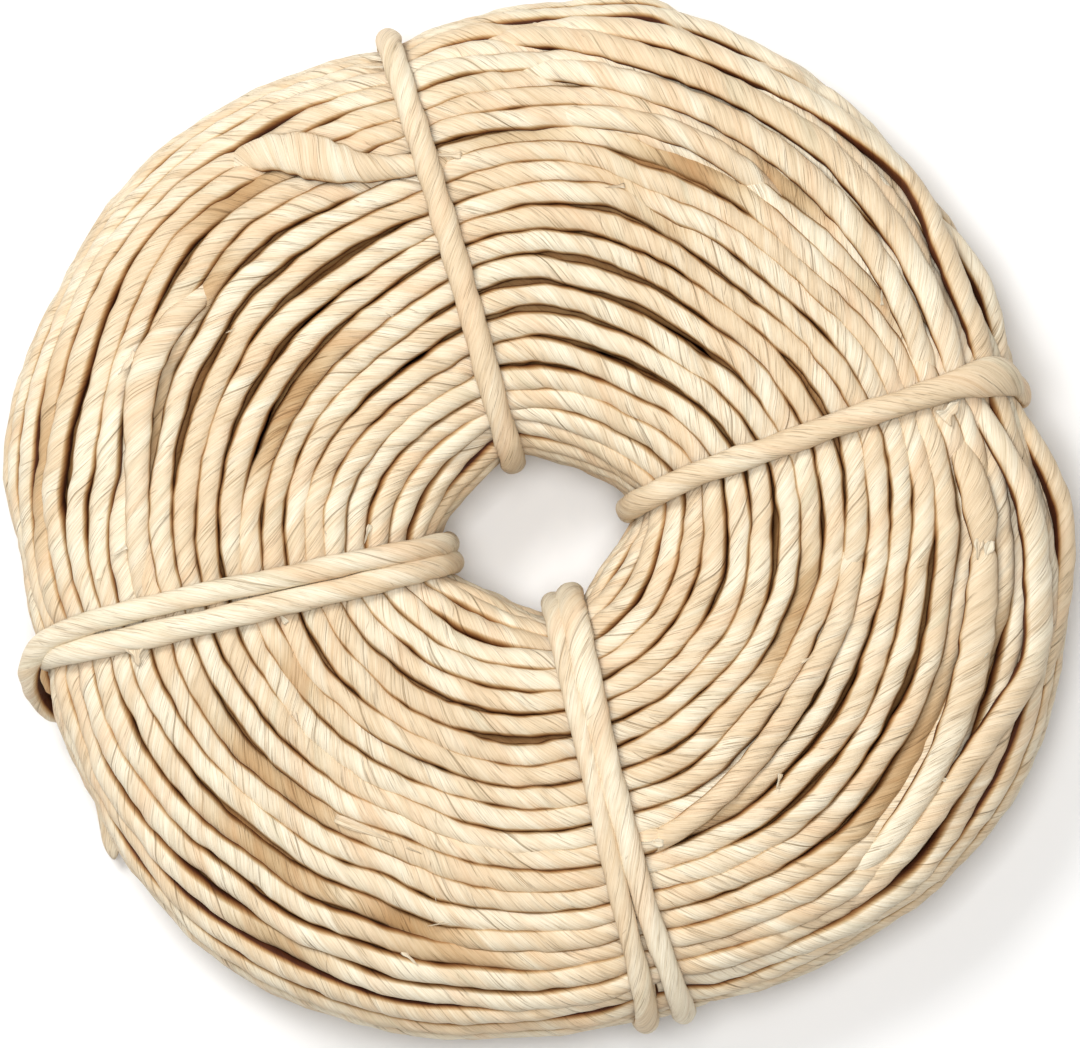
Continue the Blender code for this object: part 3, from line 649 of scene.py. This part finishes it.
def settle_furrows(count):
    """Give each furrow the two turns that it lies between, after the furrows before it."""
    settled = []
    for furrow in FURROWS:
        middle = (furrow[0] + furrow[1]) / 2
        nominal, moved = moved_turns(middle, count, settled)
        between = (moved[1:] + moved[:-1]) / 2
        own_arc = float(furrow_arc_at(furrow, np.array(middle)))
        pick = int(np.argmin(np.abs(between - own_arc)))
        settled.append((furrow, (nominal[pick] + nominal[pick + 1]) / 2, own_arc - between[pick]))
    return settled


def settle_sunken(count, settled):
    """Pick the turn nearest to each sunken place, by its position after the furrows."""
    picked = []
    for start, end, radius, depth in SUNKEN:
        middle = (start + end) / 2
        nominal, moved = moved_turns(middle, count, settled)
        own_arc = np.interp(top_place(np.array(radius * MM), np.array(middle)), PLACES, ARCS)
        picked.append((start, end, radius, depth, nominal[np.argmin(np.abs(moved - own_arc))]))
    return picked


def one_sinking(row, arc, degrees, pitch):
    """How far one sunken place pulls the turns together, and how deep it takes its own turn."""
    start, end, radius, depth, turn_arc = row
    beyond = past(degrees, (start + end) / 2)
    apart = arc - beyond / 360 * pitch - turn_arc
    reach = np.abs(beyond) / (end - start) * 2 / SUNKEN_LENGTH
    share = np.cos(np.pi / 2 * np.clip(reach, 0, 1)) ** 2
    pull = -np.sign(apart) * SUNKEN_PULL * np.clip(1 - (np.abs(apart) - pitch) / (3 * pitch), 0, 1)
    pull = np.where(np.abs(apart) < pitch / 2, 0.0, pull)
    own = np.clip(1 - np.abs(apart) / (0.6 * pitch), 0, 1)
    return share * pull, share * own * SUNKEN_SHARE * depth * MM


def steps_along(first_turn, last_turn, pitch, step):
    """Turn and direction of each point along consecutive turns."""
    turns, directions = [], []
    for turn in range(first_turn, last_turn):
        place = np.interp(((turn + 0.5) * pitch) % GIRTH, ARCS, PLACES)
        radius = float(section_at(place, np.array(MEAN_DIRECTION))[0])
        steps = math.ceil(2 * math.pi * radius / step)
        turns.append(np.full(steps, turn))
        directions.append(WINDING_START + 360 * np.arange(steps) / steps)
    turns.append(np.array((last_turn,)))
    directions.append(np.array((WINDING_START,)))
    return np.concatenate(turns), np.concatenate(directions)


def sink_under_others(place, degrees, radius, normal_z, under):
    """How far the turns sink under ties and laps and in the rim's dents."""
    sink = TIE_DIP * tie_closeness(place, degrees, radius, TIE_DIP_REACH)
    bed = TIE_BED * tie_closeness(place, degrees, radius, TIE_BED_REACH)
    sink = np.where(under, np.maximum(sink, bed * ease(-2 * normal_z)), sink)
    sink = sink + np.where(normal_z > UPPER_FACE, LAP_DIP * lap_closeness(degrees, radius), 0.0)
    from_rim = np.minimum(place, 1 - place) / RIM_DENT_REACH
    for start, end, dent in RIM_DENTS:
        beyond = np.abs(past(degrees, (start + end) / 2)) / (end - start) * 2
        sink = sink + dent * MM * np.cos(np.pi / 2 * np.clip(beyond, 0, 1)) ** 1.4 * ease(
            RIM_DENT_STEEPNESS - RIM_DENT_STEEPNESS * from_rim)
    return sink


def winding(first_turn, last_turn, count, depth, step, sizes, seed, open_furrows):
    """Middle line of consecutive turns, outward normals, run along the cord and how sunken, which
    sets their painted shade.
    """
    pitch = GIRTH / count
    turn, degrees = steps_along(first_turn, last_turn, pitch, step)
    along = turn + (degrees - WINDING_START) / 360
    arc = along * pitch
    rough_radius = section_at(np.interp(arc % GIRTH, ARCS, PLACES), degrees)[0]
    run = np.concatenate(((0.0,), np.cumsum(np.radians(np.diff(along * 360)) * rough_radius[1:])))
    run = run + RUN_PER_SEED * seed + RUN_PER_TURN * first_turn
    swing = SWAY_SWING * np.sin(np.radians(2 * degrees) + SWAY_PER_ARC * arc + seed)
    arc = arc + sizes.sway * (drift(run, SWAY_LENGTH, seed) + swing)
    sunk = np.zeros_like(arc)
    if open_furrows:
        furrows = settle_furrows(count)
        for furrow in furrows:
            arc = arc + one_furrow_shift(*furrow, along * pitch, degrees, pitch)
        for row in settle_sunken(count, furrows):
            pull, own = one_sinking(row, along * pitch, degrees, pitch)
            arc = arc + pull
            sunk = np.maximum(sunk, own)
    place = np.interp(arc % GIRTH, ARCS, PLACES)
    radius, height, normal_x, normal_z = section_at(place, degrees)
    under = normal_z < UNDERSIDE
    sink = sink_under_others(place, degrees, radius, normal_z, under)
    level = sizes.lift * drift(run, LIFT_LENGTH, seed + 1) - depth - sink - sunk
    floor = (depth - LAYER_DEPTH + sizes.cord_diameter * LOWEST_MIDDLE
             + np.where(under, sink, 0.0))
    middle = in_world(radius + normal_x * level, degrees,
                      np.maximum(height + normal_z * level, floor))
    return middle, outward_in_world(normal_x, normal_z, degrees), run, sunk / SUNKEN_FULL


def strand_frame(middle, outward):
    """Unit directions along a strand, outward and sideways."""
    along = np.gradient(middle, axis=0)
    along /= np.linalg.norm(along, axis=1)[:, None]
    up = outward - along * (outward * along).sum(axis=1)[:, None]
    up /= np.linalg.norm(up, axis=1)[:, None]
    return along, up, np.cross(along, up)


def add_strand(name, middle, outward, run, width, thickness, sides, lead, seed, finish,
               shade_from=0.70, sunken=None):
    """Closed tube of twisted leaf along a middle line.

    Its leaf_run attribute holds the turn round the cord that a fibre keeps, the run along the
    cord in metres, and a slow tint. A second attribute holds painted shade: it rises to 1 where
    the strand turns down between its neighbours, from the cosine shade_from on, and more on
    sunken turns.
    """
    along, up, side = strand_frame(middle, outward)
    change, length = TWIST_CHANGE
    own_lead = lead * (1 + change * drift(run[1:], length, seed + 5))
    twist = np.concatenate(((0.0,), np.cumsum(np.diff(run) / own_lead)))
    around = np.arange(sides + 1) / sides
    fibre = around[None, :] - twist[:, None]
    angle = 2 * np.pi * around[None, :]
    bulge, length = BULGES
    lobes = (1 + TWO_LOBES * np.cos(4 * np.pi * fibre + 1.0)
             + THREE_LOBES * np.cos(6 * np.pi * fibre)
             + LEAF_STEP * (fibre % 1.0) + bulge * drift(run, length, seed + 7)[:, None])
    points = (middle[:, None, :]
              + (side[:, None, :] * (np.sin(angle) * lobes * width[:, None] / 2)[..., None])
              + (up[:, None, :] * (np.cos(angle) * lobes * thickness[:, None] / 2)[..., None]))
    points[..., 2] = np.maximum(points[..., 2], 0.0)
    tint = 0.5 + 0.5 * drift(run, TINT_LENGTH, seed + 9)
    rings = len(middle)
    vertices = points[:, :sides].reshape(-1, 3)
    row, column = np.mgrid[:rings - 1, :sides]
    beside = (column + 1) % sides
    first = row * sides + column
    faces = np.stack((first, row * sides + beside, (row + 1) * sides + beside,
                      (row + 1) * sides + column), axis=-1).reshape(-1, 4)
    corner_rows = np.stack((row, row, row + 1, row + 1), axis=-1)
    corner_columns = np.stack((column, column + 1, column + 1, column), axis=-1)
    values = np.stack((fibre[corner_rows, corner_columns], run[corner_rows],
                       tint[corner_rows]), axis=-1).reshape(-1, 3)
    start_cap = list(range(sides))[::-1]
    end_cap = [(rings - 1) * sides + corner for corner in range(sides)]
    caps = np.concatenate((
        np.stack((fibre[0, start_cap], np.full(sides, run[0]), np.full(sides, tint[0])), axis=-1),
        np.stack((fibre[-1, :sides], np.full(sides, run[-1]), np.full(sides, tint[-1])), axis=-1)))
    mesh = bpy.data.meshes.new(name)
    mesh.from_pydata(vertices.tolist(), [], faces.tolist() + [start_cap, end_cap])
    leaf_run = mesh.attributes.new("leaf_run", "FLOAT_VECTOR", "CORNER")
    leaf_run.data.foreach_set("vector", np.concatenate((values, caps)).astype(np.float32).ravel())
    painted_crevice_shade = mesh.attributes.new("painted_crevice_shade", "FLOAT", "POINT")
    # Painted shade: darker where the strand's surface turns down between its neighbours, and on
    # sunken turns.
    upward = np.cos(angle[0, :sides])
    painted_shade = 1 - ease((upward - shade_from + SHADE_PAINT_EASE) / SHADE_PAINT_EASE)
    sunken = np.zeros(rings) if sunken is None else SUNKEN_SHADE * np.clip(sunken, 0, 1)
    painted_shade = 1 - (1 - painted_shade[None, :]) * (1 - sunken[:, None])
    painted_crevice_shade.data.foreach_set("value", painted_shade.ravel().astype(np.float32))
    mesh.shade_smooth()
    thing = bpy.data.objects.new(name, mesh)
    bpy.context.scene.collection.objects.link(thing)
    mesh.materials.append(bpy.data.materials[finish])
    return thing


def cord_thickness(run, diameter, seed):
    """Uneven thickness along the cord."""
    slow, quick = THICKNESS_CHANGES
    return diameter * (1 + slow[0] * drift(run, slow[1], seed + 3)
                       + quick[0] * drift(run, quick[1], seed + 4))


class Wire:
    """A value between shader nodes. Python's operators on it add Math nodes."""

    def __init__(self, finish, socket):
        self.finish = finish
        self.socket = socket

    def __add__(self, other):
        return self.finish.math("ADD", self, other)

    __radd__ = __add__

    def __sub__(self, other):
        return self.finish.math("SUBTRACT", self, other)

    def __rsub__(self, other):
        return self.finish.math("SUBTRACT", other, self)

    def __mul__(self, other):
        return self.finish.math("MULTIPLY", self, other)

    __rmul__ = __mul__


class Finish:
    """A material under construction."""

    def __init__(self, name):
        self.material = bpy.data.materials.new(name)
        self.material.use_nodes = True
        self.tree = self.material.node_tree
        self.shader = self.tree.nodes["Principled BSDF"]

    def node(self, kind, settings=None, sockets=None, output=0):
        """Add a node, set it up, fill or link its inputs and return one of its outputs."""
        made = self.tree.nodes.new(kind)
        for key, value in (settings or {}).items():
            setattr(made, key, value)
        for key, value in (sockets or {}).items():
            self.join(value, made.inputs[key])
        return Wire(self, made.outputs[output])

    def join(self, value, socket):
        """Link a wire to a socket, or set the socket's own value."""
        if isinstance(value, Wire):
            self.tree.links.new(value.socket, socket)
        else:
            socket.default_value = value

    def math(self, operation, first, second=0.0):
        """Add a Math node."""
        return self.node("ShaderNodeMath", {"operation": operation}, {0: first, 1: second})

    def vector(self, x, y, z):
        """Join three values in a vector."""
        return self.node("ShaderNodeCombineXYZ", sockets={"X": x, "Y": y, "Z": z})

    def noise(self, place, scale, detail=2.0, roughness=0.5):
        """Add a noise texture."""
        return self.node("ShaderNodeTexNoise", sockets={
            "Vector": place, "Scale": scale, "Detail": detail, "Roughness": roughness})

    def between(self, value, low, high, start=0.0, end=1.0):
        """Smooth step of a value between two limits."""
        return self.node("ShaderNodeMapRange", {"interpolation_type": "SMOOTHSTEP"}, {
            "Value": value, "From Min": low, "From Max": high, "To Min": start, "To Max": end})

    def darken(self, colour, level, green=1.38, blue=1.95):
        """Darken a colour as dry leaf does in its own shade, warmer as it gets deeper."""
        shade = self.node("ShaderNodeCombineColor", sockets={
            "Red": level, "Green": self.math("POWER", level, green),
            "Blue": self.math("POWER", level, blue)})
        return self.blend(1.0, colour, shade, "MULTIPLY")

    def blend(self, share, first, second, how="MIX"):
        """Mix two colours."""
        colours = [(*c, 1.0) if isinstance(c, tuple) else c for c in (first, second)]
        return self.node("ShaderNodeMix", {"data_type": "RGBA", "blend_type": how}, {
            0: share, 6: colours[0], 7: colours[1]}, output=2)


def leaf_finish(name, colours, paleness, streaking, seaming, overall_painted_shade):
    """Dry maize leaf wound along a cord: fibres, leaf edges, creases, uneven colour and painted
    shade.
    """
    finish = Finish(name)
    leaf_run = finish.node("ShaderNodeAttribute", {"attribute_name": "leaf_run"}, output=1)
    fibre, run, tint = [finish.node("ShaderNodeSeparateXYZ", sockets={0: leaf_run}, output=part)
                        for part in range(3)]
    angle = fibre * (2 * math.pi)
    east, north = finish.math("COSINE", angle), finish.math("SINE", angle)

    def ring(stretch, start=0.0, size=1.0):
        """Place on a cylinder, stretch units of it to a metre of run."""
        return finish.vector(east * size, north * size, run * stretch + start)

    def thin_line(share, full):
        """Line where a share passes a whole number."""
        distance = finish.math("MINIMUM", share, 1.0 - share)
        return finish.between(distance, full, 0.022, 1.0, 0.0)

    fibres = finish.noise(ring(9.0), 7.0, 4.0, 0.62)
    grain = finish.noise(ring(22.0), 12.0, 2.0, 0.6)
    patches = finish.noise(ring(24.0, size=0.55), 1.0, 3.0)
    warmth = finish.noise(ring(15.0, 7.0, 0.4), 1.0, 2.0)
    greenness = finish.noise(ring(19.0, 31.0, 0.5), 1.1, 2.0)
    groups = finish.between(finish.noise(ring(20.0, 9.0, 0.8), 1.7, 2.0), 0.46, 0.60)
    streaks = finish.between(finish.noise(ring(22.0, 5.0), 9.0, 1.5), 0.56, 0.68)
    streaks = streaks * (0.30 + 0.70 * groups) * streaking
    wobble = finish.noise(finish.vector(0.0, 0.0, run * 40.0), 1.0, 1.0)
    lie = finish.math("FRACT", fibre + 0.45 * wobble)
    seam_mask = finish.between(
        finish.noise(finish.vector(0.0, 0.0, run * 30.0 + 3.0), 1.0), 0.46, 0.56)
    seam = thin_line(lie, 0.003) * seam_mask * seaming
    steep = finish.math("FRACT", fibre - run * 70.0 + 0.6 * wobble)
    steep_mask = finish.between(finish.noise(ring(30.0), 0.9), 0.60, 0.68)
    crease = thin_line(steep, 0.004) * steep_mask * seaming

    share = finish.between(patches + 0.28 * (tint - 0.5) - paleness, 0.34, 0.66)
    colour = finish.blend(share, tuple(colours.cream), tuple(colours.straw))
    colour = finish.blend(finish.between(warmth, 0.52, 0.72, 0.0, 0.6), colour,
                          tuple(colours.peach))
    colour = finish.blend(finish.between(greenness, 0.60, 0.76, 0.0, 0.45), colour,
                          tuple(colours.sage))
    colour = finish.darken(colour, finish.between(fibres, 0.25, 0.70, 0.86, 1.02))
    colour = finish.darken(colour, 1.0 - finish.between(grain, 0.50, 0.72, 0.0, 0.13))
    lines = finish.math("MAXIMUM", finish.math("MAXIMUM", seam * 0.62, crease * 0.40),
                        streaks * 0.55)
    colour = finish.blend(lines, colour, tuple(colours.crease))
    # Painted shade: darker where the strand turns down between its neighbours and on sunken turns,
    # and all over a finish for turns that lie in shadow, warmer as it deepens.
    painted_crevice_shade = finish.node("ShaderNodeAttribute", {"attribute_name": "painted_crevice_shade"}, output=2)
    shade = 1.0 - finish.math("MAXIMUM", painted_crevice_shade * 0.92, overall_painted_shade)
    colour = finish.darken(colour, shade, 1.55, 2.35)
    finish.join(colour, finish.shader.inputs["Base Color"])
    finish.join(0.54 + 0.22 * fibres, finish.shader.inputs["Roughness"])
    finish.shader.inputs["Specular IOR Level"].default_value = 0.30
    height = (fibres * 0.55 + grain * 0.28 + lie * seam_mask * 0.4
              - seam * 0.5 - crease * 0.3 - streaks * 0.30)
    bumped = finish.node("ShaderNodeBump", sockets={
        "Strength": 0.8, "Distance": 0.00045, "Height": height})
    finish.join(bumped, finish.shader.inputs["Normal"])
    return finish.material


def floor_finish():
    """Pale plain floor with the faintest mottling."""
    finish = Finish("pale_floor")
    place = finish.node("ShaderNodeTexCoord", output=3)
    mottle = finish.noise(place, 3.0, 2.0)
    value = 0.94 + 0.02 * mottle
    finish.join(finish.node("ShaderNodeCombineColor",
                            sockets={"Red": value, "Green": value, "Blue": value}),
                finish.shader.inputs["Base Color"])
    finish.shader.inputs["Roughness"].default_value = 0.9
    return finish.material


class CORDCOIL_OT_finishes(bpy.types.Operator):
    """Make the materials"""

    bl_idname = "cord_coil.finishes"
    bl_label = "Make the leaf finishes"

    def execute(self, context):
        colours = context.scene.leaf_colours
        for name, *amounts in LEAF_FINISHES:
            leaf_finish(name, colours, *amounts)
        floor_finish()
        return {"FINISHED"}


class CORDCOIL_OT_turns(bpy.types.Operator):
    """Wind the turns that show, and the layer under them"""

    bl_idname = "cord_coil.turns"
    bl_label = "Wind the coil"

    def execute(self, context):
        sizes = context.scene.cord_sizes
        strands = []
        for name, first, last, step, sides in SKIN_PIECES:
            middle, outward, run, sunken = winding(first, last, sizes.skin_turns, LAYER_DEPTH,
                                                   step, sizes, SKIN_SEED, True)
            thickness = cord_thickness(run, sizes.cord_diameter, SKIN_SEED)
            change, length = FLATTENING_CHANGE
            width = thickness * (FLATTENING + change * drift(run, length, FLATTENING_SEED))
            strands.append(add_strand(name, middle, outward, run, width, thickness, sides,
                                      sizes.twist_lead, SKIN_SEED, "maize_leaf",
                                      sunken=sunken))
        # The layer under the skin turns takes shaded_leaf, painted shade for the shadow it lies in
        # between and below them.
        middle, outward, run, _ = winding(0, UNDER_TURNS, UNDER_TURNS, UNDER_DEPTH, UNDER_STEP,
                                          sizes, UNDER_SEED, False)
        thickness = cord_thickness(run, sizes.cord_diameter * UNDER_THICKNESS, UNDER_SEED)
        strands.append(add_strand("turns_under", middle, outward, run, thickness, thickness,
                                  UNDER_SIDES, sizes.twist_lead, UNDER_SEED, "shaded_leaf"))
        for thing in strands:
            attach(thing, "root")
            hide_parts("coil")
        return {"FINISHED"}


def evenly_along(middle, columns, step):
    """Resample a line and its columns at an even step."""
    run = np.concatenate(((0.0,), np.cumsum(np.linalg.norm(np.diff(middle, axis=0), axis=1))))
    even = np.linspace(0, run[-1], math.ceil(run[-1] / step) + 1)
    resampled = [np.interp(even, run, column) for column in (*middle.T, *columns)]
    return np.stack(resampled[:3], axis=-1), resampled[3:], even


def lay_over(name, place, degrees, over, width, thickness, sides, lead, seed, finish, shade_from,
             shaded=0.0):
    """Strand laid along a route of places round the section and directions.

    over is the height of its middle over the smooth section, in millimetres like its width and
    thickness. shaded is painted shade that darkens all of it.
    """
    radius, height, normal_x, normal_z = section_at(place % 1.0, degrees)
    radius = radius + normal_x * over * MM
    height = np.maximum(height + normal_z * over * MM, thickness * MM / 2 + STRAND_CLEARANCE)
    middle = in_world(radius, degrees, height)
    outward = outward_in_world(normal_x, normal_z, degrees)
    middle, columns, run = evenly_along(middle, (*outward.T, width, thickness), TIE_STEP)
    run = run + LAID_RUN_PER_SEED * seed
    change, length = LAID_CHANGE
    uneven = 1 + change * drift(run, length, seed)
    return add_strand(name, middle, np.stack(columns[:3], axis=-1), run,
                      columns[3] * MM * uneven, columns[4] * MM * uneven, sides, lead, seed,
                      finish, shade_from, np.full(len(run), shaded))


class CORDCOIL_OT_ties(bpy.types.Operator):
    """Wrap the four ties"""

    bl_idname = "cord_coil.ties"
    bl_label = "Wrap the ties"

    def execute(self, context):
        lead = context.scene.cord_sizes.twist_lead * TIE_TWIST
        for seed, (name, rows) in enumerate(TIES.items(), start=TIE_SEED):
            finish = "tie_leaf" if name in PALE_TIES else "lap_leaf"
            thing = lay_over(name + "_strand", *smooth_line(rows), TIE_SIDES, lead, seed,
                             finish, TIE_SHADE_FROM)
            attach(thing, "root")
            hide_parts(name)
        return {"FINISHED"}


class CORDCOIL_OT_laps(bpy.types.Operator):
    """Lay the cords that cross their neighbours, and the loose turns at the rim"""

    bl_idname = "cord_coil.laps"
    bl_label = "Lay the laps"

    def execute(self, context):
        lead = context.scene.cord_sizes.twist_lead
        strands = []
        for seed, (name, rows) in enumerate(LAPS.items(), start=LAP_SEED):
            degrees, radius, over, width, thickness = smooth_line(rows)
            place = top_place(radius * MM, degrees)
            strands.append(lay_over(name, place, degrees, over - LAYER_DEPTH / MM, width,
                                    thickness, LAP_SIDES, lead * LAP_TWISTS[name], seed,
                                    "lap_leaf", LAP_SHADE_FROM))
        for seed, (name, rows) in enumerate(RIM_TURNS.items(), start=LOOSE_TURN_SEED):
            strands.append(lay_over(name, *smooth_line(rows), LOOSE_TURN_SIDES, lead, seed,
                                    "maize_leaf", LOOSE_TURN_SHADE_FROM,
                                    SHADED_TURNS.get(name, 0.0)))
        for thing in strands:
            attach(thing, "root")
            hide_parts("coil")
        return {"FINISHED"}


def closed_sheet(top, lower, tones):
    """Vertices, faces and attribute values of a thin closed sheet between two point grids."""
    rows, columns = top.shape[:2]
    points = np.concatenate((top.reshape(-1, 3), lower.reshape(-1, 3)))
    shift = rows * columns
    faces = []
    for row in range(rows - 1):
        for column in range(columns - 1):
            corner = row * columns + column
            ring = (corner, corner + 1, corner + columns + 1, corner + columns)
            faces.append(ring)
            faces.append(tuple(shift + index for index in reversed(ring)))
    rim = ([(0, column) for column in range(columns)]
           + [(row, columns - 1) for row in range(1, rows)]
           + [(rows - 1, column) for column in range(columns - 2, -1, -1)]
           + [(row, 0) for row in range(rows - 2, 0, -1)])
    for first, second in zip(rim, rim[1:] + rim[:1]):
        here, there = first[0] * columns + first[1], second[0] * columns + second[1]
        faces.append((there, here, shift + here, shift + there))
    return points, faces, np.concatenate((tones.reshape(-1, 3), tones.reshape(-1, 3)))


def torn_scrap(row, random):
    """One torn leaf edge as a thin closed sheet."""
    degrees, radius, over, heading, length, width, lift = row
    direction = np.array(float(degrees))
    place = top_place(np.array(min(radius, SCRAP_REACH) * MM), direction)
    _, height, normal_x, normal_z = section_at(place, direction)
    base = in_world(np.array(radius * MM), direction, height + over * MM * normal_z)
    up = outward_in_world(normal_x, normal_z, direction)
    angle = math.radians(degrees)
    round_coil = np.array((-math.sin(angle), math.cos(angle), 0.0))
    turn = math.radians(heading)
    forward = round_coil * math.cos(turn) + np.cross(round_coil, up) * math.sin(turn)
    sideways = np.cross(up, forward)
    share = np.linspace(0, 1, SCRAP_ROWS)[:, None]
    across = np.linspace(-1, 1, SCRAP_COLUMNS)[None, :]
    taper = (1 - share ** 1.7) * (0.75 + 0.25 * np.cos(share * 9 + random.uniform(0, 6)))
    tear = SCRAP_TEAR * random.uniform(-1, 1, (SCRAP_ROWS, 1)) * share
    half_width = (0.5 + 0.1 * width) * width * MM / 2 * np.maximum(taper, SCRAP_TIP)
    cup = SCRAP_CUP * half_width * (across ** 2)
    rise = lift * MM * share ** 1.6 + cup - SCRAP_SINK
    top = (base + forward * ((share - SCRAP_ROOT) * length * MM)[..., None]
           + sideways * (half_width * (across + tear))[..., None]
           + up * rise[..., None])
    tones = np.stack(np.broadcast_arrays(0.13 * across + random.uniform(),
                                         share * length * MM + random.uniform(0, 3),
                                         SCRAP_TINT), axis=-1)
    return closed_sheet(top, top - up * SCRAP_THICKNESS, tones)


class CORDCOIL_OT_scraps(bpy.types.Operator):
    """Lift torn leaf edges off the turns"""

    bl_idname = "cord_coil.scraps"
    bl_label = "Tear the leaf edges"

    def execute(self, context):
        all_points, all_faces, all_tones = [], [], []
        count = 0
        random = np.random.RandomState(SCRAP_SEED)
        for row in SCRAPS:
            points, faces, values = torn_scrap(row, random)
            all_points.append(points)
            all_tones.append(values)
            all_faces += [tuple(index + count for index in face) for face in faces]
            count += len(points)
        mesh = bpy.data.meshes.new("torn_leaf")
        mesh.from_pydata(np.concatenate(all_points).tolist(), [], all_faces)
        leaf_run = mesh.attributes.new("leaf_run", "FLOAT_VECTOR", "POINT")
        leaf_run.data.foreach_set("vector", np.concatenate(all_tones).astype(np.float32).ravel())
        mesh.shade_smooth()
        mesh.materials.append(bpy.data.materials["tie_leaf"])
        thing = bpy.data.objects.new("torn_leaf", mesh)
        context.scene.collection.objects.link(thing)
        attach(thing, "root")
        return {"FINISHED"}


class CORDCOIL_OT_loose_end(bpy.types.Operator):
    """Make the cord's cut end"""

    bl_idname = "cord_coil.loose_end"
    bl_label = "Make the cut end"

    def execute(self, context):
        sizes = context.scene.cord_sizes
        degrees, radius, height = smooth_line(LOOSE_END)
        middle = in_world(radius, degrees, height)
        outward = outward_in_world(np.zeros_like(radius), np.ones_like(radius), degrees)
        middle, columns, run = evenly_along(middle, outward.T, LOOSE_END_STEP)
        from_tip = run[-1] - run
        size = LOOSE_END_WIDTH * (1 - LOOSE_END_THINNING * np.exp(-from_tip / LOOSE_END_TAPER))
        wide, thick = LOOSE_END_SPREAD
        thing = add_strand("loose_end_cord", middle, np.stack(columns, axis=-1),
                           run + LOOSE_END_RUN, size * wide, size * thick, LOOSE_END_SIDES,
                           sizes.twist_lead * LOOSE_END_TWIST, LOOSE_END_SEED, "maize_leaf",
                           LOOSE_END_SHADE_FROM)
        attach(thing, "root")
        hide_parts("loose_end")
        [tuple(point) for point in middle[::3]] + [tuple(middle[-1])]
        return {"FINISHED"}


class CORDCOIL_OT_stage(bpy.types.Operator):
    """Floor, lights and camera"""

    bl_idname = "cord_coil.stage"
    bl_label = "Set the stage"

    def execute(self, context):
        scene = context.scene
        bpy.ops.object.select_all(action="DESELECT")
        bpy.ops.mesh.primitive_plane_add(size=FLOOR_SIZE, location=(0.0, 0.0, -FLOOR_DROP))
        floor = context.active_object
        floor.name = "floor"
        floor.data.materials.append(bpy.data.materials["pale_floor"])
        world = bpy.data.worlds.new("soft_room")
        world.use_nodes = True
        background = world.node_tree.nodes["Background"]
        background.inputs["Color"].default_value = ROOM_COLOUR
        background.inputs["Strength"].default_value = ROOM_STRENGTH
        scene.world = world
        for light in LIGHTS:
            self.add_light(*light)
        camera = bpy.data.objects.new("camera", bpy.data.cameras.new("camera"))
        scene.collection.objects.link(camera)
        rim_distance = CAMERA_HEIGHT - SECTION_HEIGHT / 2
        camera.location = (*PHOTO_CENTRE, CAMERA_HEIGHT)
        camera.data.sensor_width = SENSOR_WIDTH
        camera.data.lens = SENSOR_WIDTH * rim_distance / (PHOTO_WIDTH * PHOTO_PIXEL)
        camera.data.clip_start = 0.01
        scene.camera = camera
        scene.view_settings.view_transform = "Standard"
        return {"FINISHED"}

    def add_light(self, name, place, size, power):
        """Square soft light aimed at the coil."""
        lamp = bpy.data.lights.new(name, "AREA")
        lamp.size = size
        lamp.energy = power
        light = bpy.data.objects.new(name, lamp)
        bpy.context.scene.collection.objects.link(light)
        light.location = place
        light.rotation_euler = (-light.location).to_track_quat("-Z", "Y").to_euler()


class CORDCOIL_PT_panel(bpy.types.Panel):
    """Steps and sizes of the coil"""

    bl_idname = "CORDCOIL_PT_panel"
    bl_label = "Cord coil"
    bl_space_type = "VIEW_3D"
    bl_region_type = "UI"
    bl_category = "Cord coil"

    def draw(self, context):
        layout = self.layout
        for group in (context.scene.cord_sizes, context.scene.leaf_colours):
            for name in group.__annotations__:
                layout.prop(group, name)
        for step in STEPS:
            layout.operator(step.bl_idname)


STEPS = (
    CORDCOIL_OT_finishes,
    CORDCOIL_OT_stage,
    CORDCOIL_OT_loose_end,
    CORDCOIL_OT_turns,
    CORDCOIL_OT_ties,
    CORDCOIL_OT_laps,
    CORDCOIL_OT_scraps,
)
CLASSES = (CordSizes, LeafColours, *STEPS, CORDCOIL_PT_panel)


def register():
    """Register the classes and hang their settings on the scene."""
    for each in CLASSES:
        bpy.utils.register_class(each)
    bpy.types.Scene.cord_sizes = bpy.props.PointerProperty(type=CordSizes)
    bpy.types.Scene.leaf_colours = bpy.props.PointerProperty(type=LeafColours)


def unregister():
    """Take the settings and the classes away again."""
    del bpy.types.Scene.leaf_colours
    del bpy.types.Scene.cord_sizes
    for each in reversed(CLASSES):
        bpy.utils.unregister_class(each)


def main():
    """Build the coil."""
    register()
    bpy.ops.cord_coil.finishes()
    bpy.ops.cord_coil.stage()
    bpy.ops.cord_coil.loose_end()
    bpy.ops.cord_coil.turns()
    bpy.ops.cord_coil.ties()
    bpy.ops.cord_coil.laps()
    bpy.ops.cord_coil.scraps()


if __name__ == "__main__":
    main()
